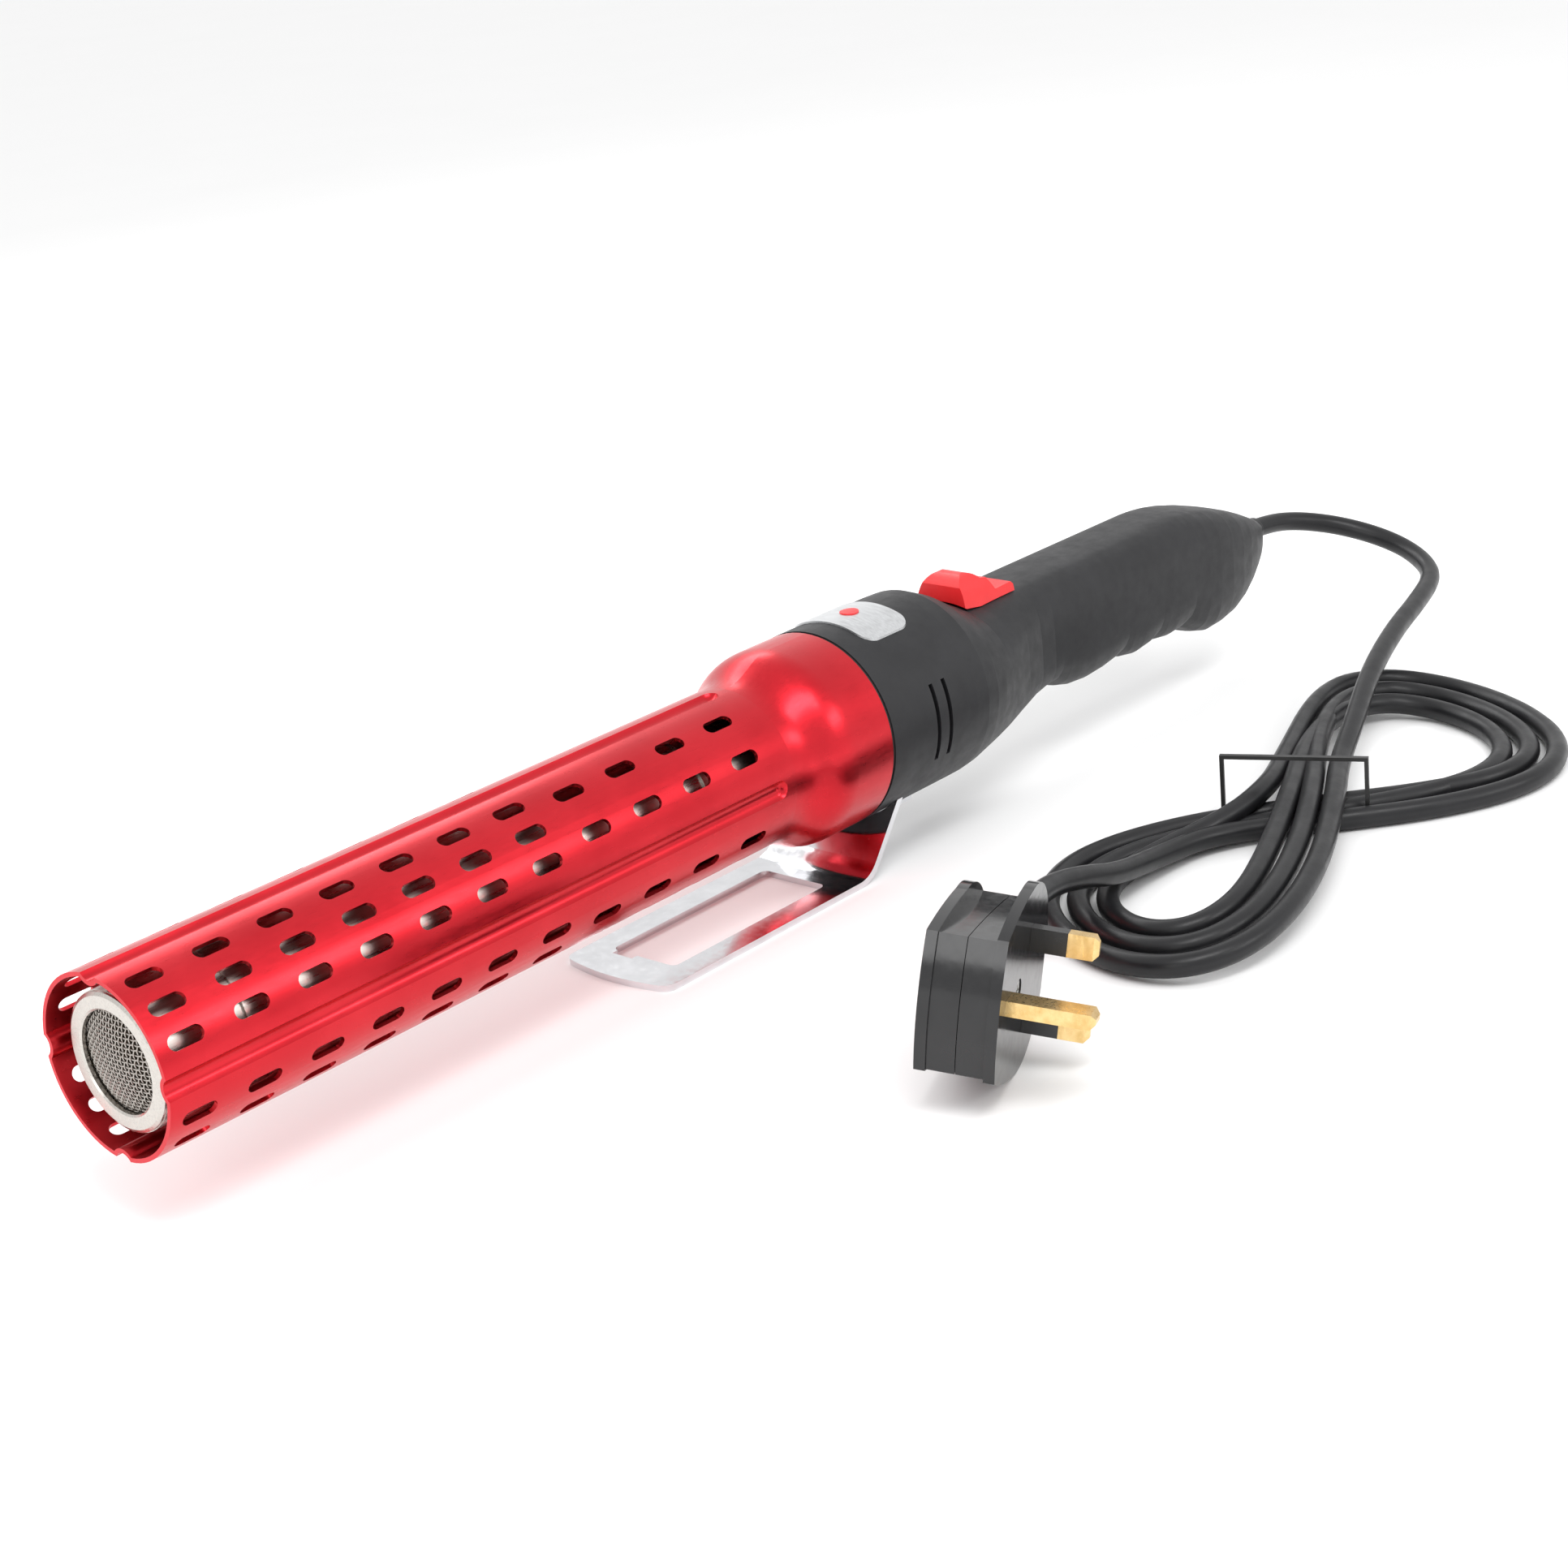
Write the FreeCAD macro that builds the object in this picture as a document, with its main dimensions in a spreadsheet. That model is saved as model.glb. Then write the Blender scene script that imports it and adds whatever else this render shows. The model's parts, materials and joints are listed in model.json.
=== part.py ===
import FreeCAD, Part
import math
import os
import Sketcher

# Hand-held hot-air lighter: a perforated red barrel round an electric heating tube,
# a two-shell handle with a fan motor and a slide switch, a strip stand under the barrel,
# and a mains lead tied in a figure of eight that ends in a three-pin plug.
#
# Row frame: X runs along the barrel from the muzzle (-X) to the handle (+X), +Z is up,
# the origin is under the middle of the tool on the surface that its stand rests on.
# Most pieces are drawn in the barrel frame, where x is the station behind the muzzle rim
# and the barrel's axis is y = z = 0; barrel_place() puts them in the row frame.

Vector = FreeCAD.Vector
Rotation = FreeCAD.Rotation
Placement = FreeCAD.Placement

os.makedirs("parts", exist_ok=True)
doc = FreeCAD.newDocument("hot_air_lighter")

# ---------------------------------------------------------------- driving dimensions
DIMENSIONS = [
    ("tool_length", 497.5, "muzzle rim to the end of the handle"),
    ("axis_height", 45, "barrel axis above the surface it stands on"),
    # barrel
    ("barrel_radius", 25, "outside of the perforated barrel"),
    ("barrel_sheet", 1.2, "barrel sheet thickness"),
    ("barrel_length", 263, "muzzle rim to the seam with the housing"),
    ("flare_start", 226, "where the barrel starts to widen"),
    ("flare_end", 247, "where the barrel reaches the housing's size"),
    ("flare_radius", 30.9, "barrel radius at the seam"),
    ("flute_end", 219, "rear end of the four pressed flutes"),
    ("flute_radius", 3.4, "radius of a flute's trough"),
    ("flute_depth", 1.8, "depth of a flute below the barrel"),
    ("slot_length", 10.5, "barrel slot, end to end"),
    ("slot_width", 4.2, "barrel slot width"),
    ("slot_pitch", 20, "slot column spacing"),
    ("slot_first", 9, "first slot column behind the rim"),
    ("slot_columns", 11, "slot columns"),
    ("slot_triple_columns", 7, "columns with three rows to a face"),
    ("slot_triple_angle", 21.2, "angle between rows of three"),
    ("slot_pair_angle", 15.2, "angle of each row of a pair off the face centre"),
    # heating tube
    ("tube_radius", 18.8, "outside of the inner heating tube"),
    ("tube_sheet", 0.6, "inner tube wall"),
    ("tube_start", 4.2, "front of the inner tube behind the rim"),
    ("tube_end", 253, "rear of the inner tube"),
    ("nozzle_hole", 13.8, "hole in the rolled nozzle ring"),
    ("mica_radius", 17.9, "outside of the mica sleeve"),
    ("mica_sheet", 0.4, "mica sleeve wall"),
    ("former_start", 40, "front of the heater former"),
    ("former_length", 160, "heater former length"),
    ("former_width", 29, "heater former plate width"),
    ("former_sheet", 0.8, "heater former plate thickness"),
    ("heater_radius", 15.4, "radius of the heating coil's centre line"),
    ("heater_wire", 0.45, "radius of the heating wire"),
    ("heater_turns", 11, "turns of the heating coil"),
    ("shield_start", 248.6, "front of the heat shield disc"),
    ("shield_sheet", 1.2, "heat shield thickness"),
    # housing
    ("housing_radius", 31, "outside of the fan housing"),
    ("housing_wall", 2.3, "wall of the two housing shells"),
    ("housing_front", 264, "front edge of the housing"),
    ("handle_half_width", 18, "half width of the handle"),
    ("handle_top", 20.3, "top of the handle above the barrel axis"),
    ("vent_station", 285, "first of the two curved vents"),
    ("vent_pitch", 5.8, "spacing of the curved vents"),
    ("vent_width", 1.7, "width of a vent"),
    ("vent_span", 46, "angle that a vent covers on the side"),
    ("cord_height", -3, "cord exit above the barrel axis"),
    # fan and motor
    ("fan_start", 271, "front of the fan hub"),
    ("fan_length", 11.5, "fan hub length"),
    ("fan_radius", 25.4, "fan blade tip radius"),
    ("fan_blades", 7, "fan blades"),
    ("shaft_radius", 1, "motor shaft radius"),
    ("shaft_clearance", 0.04, "radial running clearance of the shaft"),
    ("motor_start", 293, "front of the motor can"),
    ("motor_length", 30, "motor can length"),
    ("motor_radius", 14, "motor can radius"),
    # slide switch
    ("slider_start", 327.2, "front of the switch slider"),
    ("slider_length", 25.4, "switch slider length"),
    ("slider_half_width", 11, "half width of the switch slider"),
    ("slider_travel", 6, "travel of the switch slider"),
    # stand
    ("stand_sheet", 2, "stand strip thickness"),
    ("stand_front", 166.5, "front of the stand"),
    ("stand_bend", 259, "corner where the stand turns up"),
    ("stand_half_width", 21, "half width of the stand"),
    ("stand_angle", 52, "slope of the stand's web"),
    ("opening_start", 180.5, "front of the long opening in the stand"),
    ("opening_end", 247.5, "rear of the long opening in the stand"),
    ("opening_half_width", 12.5, "half width of the opening in the stand"),
    # cord and plug
    ("cord_diameter", 6.8, "mains lead"),
    ("plug_depth", 21, "plug body, back to pin face"),
    ("plug_length", 51, "plug body, earth end to cord end"),
    ("plug_near_half", 18.8, "plug half width at the earth end"),
    ("plug_wide_half", 25, "plug half width at its shoulders"),
]

sheet = doc.addObject("Spreadsheet::Sheet", "dims")
for row, (alias, value, meaning) in enumerate(DIMENSIONS, start=1):
    sheet.set(f"A{row}", str(value))
    sheet.setAlias(f"A{row}", alias)
    sheet.set(f"B{row}", meaning)
doc.recompute()


def dim(alias):
    """The value of a driving dimension."""
    return float(sheet.get(alias))


PIECES = []


def keep(item, label):
    """Names a finished sub-part and lists it for export."""
    item.Label = label
    PIECES.append(item)
    return item


# ---------------------------------------------------------------- helpers for objects
PLACE_X = "-dims.tool_length / 2"
PLACE_Z = "dims.axis_height"


def barrel_place():
    """Placement of the barrel frame in the row frame."""
    return Placement(Vector(-dim("tool_length") / 2, 0, dim("axis_height")), Rotation())


def bind_place(item, x="0", y="0", z="0"):
    """Binds an object's position, given in the barrel frame, to the sheet."""
    item.setExpression(".Placement.Base.x", f"{PLACE_X} + ({x})")
    item.setExpression(".Placement.Base.y", y)
    item.setExpression(".Placement.Base.z", f"{PLACE_Z} + ({z})")


def turned(label, corners):
    """A PartDesign body turned about the barrel's axis.

    corners are (station, radius) pairs of expressions round the closed profile."""
    body = doc.addObject("PartDesign::Body", label + "_body")
    plane = next(f for f in body.Origin.OriginFeatures if f.Role == "XZ_Plane")
    sketch = body.newObject("Sketcher::SketchObject", label + "_profile")
    sketch.AttachmentSupport = [(plane, "")]
    sketch.MapMode = "FlatFace"
    values = [(float(sheet.evalExpression(a)), float(sheet.evalExpression(b))) for a, b in corners]
    count = len(corners)
    for index in range(count):
        start = Vector(*values[index], 0)
        end = Vector(*values[(index + 1) % count], 0)
        sketch.addGeometry(Part.LineSegment(start, end))
    for index in range(count):
        sketch.addConstraint(Sketcher.Constraint("Coincident", index, 2, (index + 1) % count, 1))
    for index, (station, radius) in enumerate(corners):
        if values[index][0] != 0:
            row = sketch.addConstraint(Sketcher.Constraint("DistanceX", index, 1, values[index][0]))
            sketch.setExpression(f"Constraints[{row}]", station)
        if values[index][1] != 0:
            row = sketch.addConstraint(Sketcher.Constraint("DistanceY", index, 1, values[index][1]))
            sketch.setExpression(f"Constraints[{row}]", radius)
    turn = body.newObject("PartDesign::Revolution", label + "_turn")
    turn.Profile = sketch
    turn.ReferenceAxis = (sketch, ["H_Axis"])
    turn.Angle = 360
    bind_place(body)
    return keep(body, label)


def ring(label, start, end, inner, outer):
    """A plain turned ring between two stations and two radii, all expressions."""
    return turned(label, [(start, inner), (end, inner), (end, outer), (start, outer)])


def block(label, start, length, width, low, height, side="0"):
    """A Part box: stations along X, centred on side in Y, low is its underside. Expressions."""
    box = doc.addObject("Part::Box", label + "_box")
    box.setExpression("Length", length)
    box.setExpression("Width", width)
    box.setExpression("Height", height)
    bind_place(box, start, f"{side} - ({width}) / 2", low)
    return box


def rod(label, radius, length, x, y, z, axis):
    """A Part cylinder from a point along an axis vector. radius and length are expressions."""
    cylinder = doc.addObject("Part::Cylinder", label + "_rod")
    cylinder.setExpression("Radius", radius)
    cylinder.setExpression("Height", length)
    cylinder.Placement = Placement(Vector(0, 0, 0), Rotation(Vector(0, 0, 1), axis))
    bind_place(cylinder, x, y, z)
    return cylinder


def group(label, items):
    """Separate identical solids that share one node."""
    compound = doc.addObject("Part::Compound", label + "_group")
    compound.Links = items
    return keep(compound, label)


def fuse(label, items):
    joined = doc.addObject("Part::MultiFuse", label + "_fuse")
    joined.Shapes = items
    joined.Refine = True
    return joined


def cut(label, base, tool):
    result = doc.addObject("Part::Cut", label + "_cut")
    result.Base = base
    result.Tool = tool
    return result


def shaped(label, shape, place=None):
    """A Part feature for a shape that Part's own functions made."""
    feature = doc.addObject("Part::Feature", label + "_shape")
    feature.Shape = shape
    feature.Placement = (place or barrel_place()).multiply(shape.Placement)
    return keep(feature, label)


# ---------------------------------------------------------------- helpers for shapes
AXIS_X = Vector(1, 0, 0)
AXIS_Y = Vector(0, 1, 0)
AXIS_Z = Vector(0, 0, 1)
ORIGIN = Vector(0, 0, 0)


def tube_x(start, end, inner, outer):
    """A ring along X, or a plain cylinder where inner is 0."""
    solid = Part.makeCylinder(outer, end - start, Vector(start, 0, 0), AXIS_X)
    if inner <= 0:
        return solid
    return solid.cut(Part.makeCylinder(inner, end - start + 2, Vector(start - 1, 0, 0), AXIS_X))


def box_between(low, high):
    return Part.makeBox(high[0] - low[0], high[1] - low[1], high[2] - low[2], Vector(*low))


def turned_about_x(shape, angle):
    """A copy turned about the barrel's axis; positive goes from the top towards -Y."""
    copy = shape.copy()
    copy.rotate(ORIGIN, AXIS_X, angle)
    return copy


def one_solid(shape):
    """The largest solid of a boolean's result, which drops stray slivers."""
    return max(shape.Solids, key=lambda solid: solid.Volume)


# ---------------------------------------------------------------- barrel
def barrel_revolve(inset, overrun):
    """The barrel's outer form, inset by a thickness and run past both ends."""
    front = dim("barrel_radius") - inset
    back = dim("flare_radius") - inset
    start, end = dim("flare_start"), dim("flare_end")
    middle = (start + end) / 2
    flare = Part.BezierCurve()
    flare.setPoles([Vector(start, 0, front), Vector(middle, 0, front), Vector(middle, 0, back), Vector(end, 0, back)])
    low = Vector(-overrun, 0, 0)
    high = Vector(dim("barrel_length") + overrun, 0, 0)
    edges = [
        Part.LineSegment(low, Vector(-overrun, 0, front)).toShape(),
        Part.LineSegment(Vector(-overrun, 0, front), Vector(start, 0, front)).toShape(),
        flare.toShape(),
        Part.LineSegment(Vector(end, 0, back), Vector(high.x, 0, back)).toShape(),
        Part.LineSegment(Vector(high.x, 0, back), high).toShape(),
        Part.LineSegment(high, low).toShape(),
    ]
    return Part.Face(Part.Wire(edges)).revolve(ORIGIN, AXIS_X, 360)


def flute_cutter(growth):
    """The four round-ended troughs, grown by a thickness."""
    radius = dim("flute_radius") + growth
    centre = dim("barrel_radius") - dim("flute_depth") + dim("flute_radius")
    end = dim("flute_end")
    trough = Part.makeCylinder(radius, end + 3, Vector(-3, 0, centre), AXIS_X)
    trough = trough.fuse(Part.makeSphere(radius, Vector(end, 0, centre)))
    troughs = [turned_about_x(trough, 90 * quarter) for quarter in range(4)]
    return troughs


def slot_cutter():
    """One radial slot cutter at station 0 on top of the barrel."""
    half = (dim("slot_length") - dim("slot_width")) / 2
    radius = dim("slot_width") / 2
    low, high = dim("barrel_radius") - 7, dim("barrel_radius") + 3
    left = Part.Arc(Vector(-half, radius, low), Vector(-half - radius, 0, low), Vector(-half, -radius, low))
    right = Part.Arc(Vector(half, -radius, low), Vector(half + radius, 0, low), Vector(half, radius, low))
    near = Part.LineSegment(Vector(-half, -radius, low), Vector(half, -radius, low))
    far = Part.LineSegment(Vector(half, radius, low), Vector(-half, radius, low))
    outline = Part.Wire([left.toShape(), near.toShape(), right.toShape(), far.toShape()])
    return Part.Face(outline).extrude(Vector(0, 0, high - low))


def slot_angles(column):
    """Angles of the slots in one column: three or two rows on each of the four faces."""
    if column < dim("slot_triple_columns"):
        step = dim("slot_triple_angle")
        offsets = [-step, 0, step]
    else:
        offsets = [-dim("slot_pair_angle"), dim("slot_pair_angle")]
    return [45 + 90 * face + offset for face in range(4) for offset in offsets]


def outer_barrel():
    shell = barrel_revolve(0, 0).cut(flute_cutter(0))
    bore = barrel_revolve(dim("barrel_sheet"), 1).cut(flute_cutter(dim("barrel_sheet")))
    shell = shell.cut(bore)
    slot = slot_cutter()
    slots = []
    for column in range(int(dim("slot_columns"))):
        station = dim("slot_first") + column * dim("slot_pitch")
        for angle in slot_angles(column):
            tool = turned_about_x(slot, angle)
            tool.translate(Vector(station, 0, 0))
            slots.append(tool)
    return one_solid(shell.cut(Part.makeCompound(slots)))


shaped("outer_barrel", outer_barrel())

SEAL_INNER = "dims.flare_radius - dims.barrel_sheet - 0.3"
ring("barrel_seal_ring", "dims.barrel_length", "dims.housing_front", SEAL_INNER, "dims.flare_radius - 0.4")

# ---------------------------------------------------------------- heating tube and nozzle
ring("inner_heat_tube", "dims.tube_start", "dims.tube_end", "dims.tube_radius - dims.tube_sheet", "dims.tube_radius")

TUBE_BORE = "dims.tube_radius - dims.tube_sheet"
turned(
    "nozzle_ring",
    [
        ("dims.tube_start + 9", TUBE_BORE + " - 0.05"),
        ("dims.tube_start", TUBE_BORE + " - 0.05"),
        ("dims.tube_start", "dims.tube_radius - 0.2"),
        ("dims.tube_start - 0.7", "dims.tube_radius - 0.3"),
        ("dims.tube_start - 1.2", "dims.tube_radius - 1.2"),
        ("dims.tube_start - 1.2", "dims.nozzle_hole + 0.5"),
        ("dims.tube_start - 0.8", "dims.nozzle_hole"),
        ("dims.tube_start + 0.2", "dims.nozzle_hole"),
        ("dims.tube_start + 0.2", "dims.tube_radius - 1.5"),
        ("dims.tube_start + 9", "dims.tube_radius - 1.5"),
    ],
)


def nozzle_mesh():
    """Domed mesh screen behind the nozzle ring, as one thin cap cut from a hollow ball."""
    edge = dim("nozzle_hole") + 2.2
    rim = dim("tube_start") + 1.3
    rise = 3.4
    thickness = 0.8
    radius = (edge ** 2 + rise ** 2) / (2 * rise)
    centre = Vector(rim - rise + radius, 0, 0)
    ball = Part.makeSphere(radius, centre).cut(Part.makeSphere(radius - thickness, centre))
    return ball.common(Part.makeCylinder(edge, 20, Vector(rim - 10, 0, 0), AXIS_X))


shaped("nozzle_mesh", one_solid(nozzle_mesh()))

ring("mica_sleeve", "dims.former_start - 15", "dims.former_start + dims.former_length + 10",
     "dims.mica_radius - dims.mica_sheet", "dims.mica_radius")

former_upright = block("former_upright", "dims.former_start", "dims.former_length", "dims.former_sheet",
                       "-dims.former_width / 2", "dims.former_width")
former_flat = block("former_flat", "dims.former_start", "dims.former_length", "dims.former_width",
                    "-dims.former_sheet / 2", "dims.former_sheet")
keep(fuse("heater_former", [former_upright, former_flat]), "heater_former")


def heating_coil():
    """Heating wire wound round the former as one helix."""
    turns = dim("heater_turns")
    length = dim("former_length") - 20
    helix = Part.makeHelix(length / turns, length, dim("heater_radius"))
    start = Part.Wire([Part.Circle(Vector(dim("heater_radius"), 0, 0), AXIS_Y, dim("heater_wire")).toShape()])
    coil = Part.Wire(helix).makePipeShell([start], True, True)
    coil.rotate(ORIGIN, AXIS_Y, 90)
    coil.translate(Vector(dim("former_start") + 10, 0, 0))
    return coil


shaped("heating_coil", one_solid(heating_coil()))


def tube_spacer(start):
    """Sprung ring that centres the heating tube on the barrel's four flutes."""
    inner = dim("tube_radius") + 0.02
    outer = inner + 0.7
    width = 8
    reach = dim("barrel_radius") - dim("flute_depth") - dim("barrel_sheet") - 0.05
    spacer = tube_x(start, start + width, inner, outer)
    foot = box_between((start, -2, outer - 0.3), (start + width, 2, reach))
    feet = [turned_about_x(foot, 90 * quarter) for quarter in range(4)]
    return one_solid(spacer.fuse(feet).removeSplitter())


shaped("front_tube_spacer", tube_spacer(30))
shaped("rear_tube_spacer", tube_spacer(196))


def heat_shield():
    """Disc that closes the barrel behind the tube, with a ring of cooling holes."""
    start = dim("shield_start")
    end = start + dim("shield_sheet")
    disc = tube_x(start, end, dim("tube_radius") + 0.02, dim("flare_radius") - dim("barrel_sheet") - 0.1)
    hole_circle = 24.2
    holes = [
        turned_about_x(Part.makeCylinder(2.2, 4, Vector(start - 1, 0, hole_circle), AXIS_X), 30 * index)
        for index in range(12)
    ]
    return one_solid(disc.cut(holes))


shaped("heat_shield", heat_shield())

cutout_block = block("cutout_case", "dims.former_start + dims.former_length + 1", "9", "8", "1.5", "3.5")
keep(cutout_block, "thermal_cutout")

# ---------------------------------------------------------------- housing shells
HANDLE_END = dim("tool_length")


def smooth(value, low, high):
    """0 below low, 1 above high, an even S between them."""
    ratio = min(1, max(0, (value - low) / (high - low)))
    return ratio * ratio * (3 - 2 * ratio)


# Finger grips under the handle: the stations of the troughs between fingers.
GRIP_TROUGHS = [366.5, 403.5, 424, 443.5]
GRIP_DEPTHS = [21.2, 21.2, 21, 26.6]
TROUGH_DEPTHS = [16.6, 18.2, 18.6, 19.2]


def grip_bottom(station):
    """Depth of the handle's underside below the barrel axis."""
    last = len(GRIP_TROUGHS) - 1
    if station <= GRIP_TROUGHS[0]:
        front = smooth(station, 310, GRIP_TROUGHS[0])
        return dim("housing_radius") * (1 - front) + TROUGH_DEPTHS[0] * front
    if station >= GRIP_TROUGHS[last]:
        rise = smooth(station, GRIP_TROUGHS[last], GRIP_TROUGHS[last] + 16)
        fall = max(0, (station - 466) / (HANDLE_END - 466))
        depth = TROUGH_DEPTHS[last] + (GRIP_DEPTHS[last] - TROUGH_DEPTHS[last]) * math.sqrt(rise)
        return depth - 12.5 * fall ** 2.2
    index = max(i for i in range(last) if GRIP_TROUGHS[i] <= station)
    start, end = GRIP_TROUGHS[index], GRIP_TROUGHS[index + 1]
    ratio = (station - start) / (end - start)
    base = TROUGH_DEPTHS[index] * (1 - ratio) + TROUGH_DEPTHS[index + 1] * ratio
    return base + (GRIP_DEPTHS[index] - base) * math.sin(math.pi * ratio) ** 0.7


def handle_section(station):
    """Half width, top, bottom and squareness of the housing at a station."""
    radius = dim("housing_radius")
    shoulder = smooth(station, 308, 332)
    top = radius * (1 - shoulder) + dim("handle_top") * shoulder
    waist = smooth(station, 306, 362)
    width = radius * (1 - waist) + dim("handle_half_width") * waist
    square = 2 + 1.4 * smooth(station, 318, 360)
    crown = max(0, (station - 438) / (HANDLE_END - 438))
    top = top - 16 * crown ** 1.9
    tail = max(0, (station - 455) / (HANDLE_END - 455))
    width = width - 7.5 * tail ** 2.4
    return width, top, -grip_bottom(station), square - 0.9 * tail


SECTION_STATIONS = [264, 285, 304, 310, 316, 322, 328, 335, 344, 354, 362, 366.5, 371, 377, 385, 393, 399,
                    403.5, 407, 413.5, 420, 424, 427.5, 433.5, 439.5, 443.5, 447, 452, 459, 467, 475, 482,
                    488, 493, 496]


def section_wire(station, half_width, top, bottom, square):
    """A closed section: a circle where square is 2, a soft rectangle above that."""
    points = []
    count = 20
    for index in range(count):
        angle = 2 * math.pi * (index + 0.5) / count
        across = math.copysign(abs(math.cos(angle)) ** (2 / square), math.cos(angle))
        up = math.copysign(abs(math.sin(angle)) ** (2 / square), math.sin(angle))
        points.append(Vector(station, half_width * across, top * up if up > 0 else -bottom * up))
    curve = Part.BSplineCurve()
    knots = [index / count for index in range(count + 1)]
    curve.interpolate(Points=points, PeriodicFlag=True, Parameters=knots)
    return Part.Wire(curve.toShape())


def housing_solid(wall):
    """The housing's outside, or its cavity where wall is the shell thickness."""
    wires = []
    for station in SECTION_STATIONS:
        half_width, top, bottom, square = handle_section(station)
        if wall and station > HANDLE_END - 5:
            continue
        wires.append(section_wire(station, half_width - wall, top - wall, bottom + wall, square))
    if not wall:
        half_width, top, bottom, square = handle_section(HANDLE_END)
        for inset, reach in ((1.6, HANDLE_END - 0.4), (3.2, HANDLE_END)):
            wires.append(section_wire(reach, half_width - inset, top - inset, bottom + inset, 2.2))
    return Part.makeLoft(wires, True, True)


# Screw bosses that join the shells: station and height of each.
BOSSES = [(318, -20.5), (318, 20.5), (396, -10.5), (462, 7.5), (470, -17)]
BOSS_RADIUS = 3.3
SCREW_RADIUS = 1.4
HEAD_RADIUS = 2.8
HEAD_SEAT = 7


def vent_cutters():
    """Two curved vents on each side of the fan housing."""
    cutters = []
    span = dim("vent_span")
    for side in (90, 270):
        for index in range(2):
            start = dim("vent_station") + index * dim("vent_pitch") - dim("vent_width") / 2
            wedge = Part.makeCylinder(
                dim("housing_radius") + 3, dim("vent_width"), Vector(start, 0, 0), AXIS_X, span
            )
            wedge.rotate(ORIGIN, AXIS_X, side - span / 2 + first_angle(wedge))
            core = Part.makeCylinder(dim("housing_radius") - 6, dim("vent_width") + 2, Vector(start - 1, 0, 0), AXIS_X)
            cutters.append(wedge.cut(core))
    return cutters


def first_angle(wedge):
    """Turn that brings a wedge's first face to the top of the barrel."""
    centre = wedge.CenterOfMass
    half = dim("vent_span") / 2
    return -math.degrees(math.atan2(-centre.y, centre.z)) + half


def housing_shells():
    outside = housing_solid(0)
    cavity = housing_solid(dim("housing_wall"))
    front = dim("housing_front")
    bore = dim("housing_radius") - dim("housing_wall")
    shell = outside.cut(cavity)
    shell = shell.cut(Part.makeCylinder(bore + 0.1, 30, Vector(front - 10, 0, 0), AXIS_X))
    spigot_radius = dim("flare_radius") - dim("barrel_sheet") - 0.35
    spigot = tube_x(front - 12, front + 4, spigot_radius - 2, spigot_radius)
    shell = shell.fuse(spigot)
    posts = []
    for station, height in BOSSES:
        post = Part.makeCylinder(BOSS_RADIUS, 80, Vector(station, -40, height), AXIS_Y)
        posts.append(post.common(outside))
    shell = shell.fuse(posts)
    slot_start = dim("slider_start") + 8
    slider_slot = box_between((slot_start, -2.7, 10), (slot_start + 9 + dim("slider_travel"), 2.7, 30))
    gland_hole = Part.makeCylinder(4.6, 30, Vector(HANDLE_END - 15, 0, dim("cord_height")), AXIS_X)
    flange_groove = Part.makeCylinder(6.6, 3.2, Vector(HANDLE_END - 8.2, 0, dim("cord_height")), AXIS_X)
    cutters = vent_cutters() + [slider_slot, gland_hole, flange_groove]
    for start in (279, 291):
        cutters.append(Part.makeCylinder(1.55, 12, Vector(start, 0, -dim("housing_radius") - 6), AXIS_Z))
    shell = shell.cut(cutters)
    near = shell.common(box_between((200, -60, -60), (600, 0, 60)))
    far = shell.common(box_between((200, 0, -60), (600, 60, 60)))
    for station, height in BOSSES:
        pilot = Part.makeCylinder(SCREW_RADIUS + 0.02, 14, Vector(station, -12.5, height), AXIS_Y)
        near = near.cut(pilot)
        through = Part.makeCylinder(SCREW_RADIUS + 0.2, 20, Vector(station, -1, height), AXIS_Y)
        counterbore = Part.makeCylinder(HEAD_RADIUS + 0.3, 40, Vector(station, HEAD_SEAT, height), AXIS_Y)
        far = far.cut(through.fuse(counterbore))
    return one_solid(near), one_solid(far)


near_shell, far_shell = housing_shells()
shaped("housing_near_shell", near_shell)
shaped("housing_far_shell", far_shell)


def countersunk(point, direction, length, shank, head, depth):
    """A countersunk or pan screw whose head's top is at point and shank runs along direction."""
    cone = Part.makeCone(head, shank, depth, point, direction)
    return cone.fuse(Part.makeCylinder(shank, length, point, direction)).removeSplitter()


def pan_screw(seat, direction, length, shank, head, height):
    """A pan-head screw: the head stands on seat against direction, the shank runs along it."""
    cap = Part.makeCylinder(head, height, seat, direction.negative())
    cross = box_between((-head * 0.6, -0.4, -0.4), (head * 0.6, 0.4, 0.4))
    slot_place = Placement(seat - direction * height, Rotation(AXIS_Z, direction))
    cross.Placement = slot_place
    other = cross.copy()
    other.Placement = Placement(slot_place.Base, slot_place.Rotation.multiply(Rotation(AXIS_Z, 90)))
    cap = cap.cut([cross, other])
    return cap.fuse(Part.makeCylinder(shank, length, seat, direction)).removeSplitter()


housing_screws = [
    one_solid(pan_screw(Vector(station, HEAD_SEAT, height), Vector(0, -1, 0), 18, SCREW_RADIUS, HEAD_RADIUS, 2))
    for station, height in BOSSES
]
shaped("housing_screws", Part.makeCompound(housing_screws))

# ---------------------------------------------------------------- badge
BADGE_START = 273
BADGE_LENGTH = 21
BADGE_HALF_ANGLE = 31


def badge_plate():
    """Plain curved plate on top of the fan housing, with rounded corners."""
    inner = dim("housing_radius") + 0.03
    plate = tube_x(BADGE_START, BADGE_START + BADGE_LENGTH, inner, inner + 0.6)
    half_width = inner * math.sin(math.radians(BADGE_HALF_ANGLE))
    stamp = box_between((BADGE_START, -half_width, 10), (BADGE_START + BADGE_LENGTH, half_width, 60))
    upright = [edge for edge in stamp.Edges if abs(edge.tangentAt(edge.FirstParameter).z) > 0.9]
    return one_solid(plate.common(stamp.makeFillet(5, upright)))


shaped("badge_plate", badge_plate())


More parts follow.
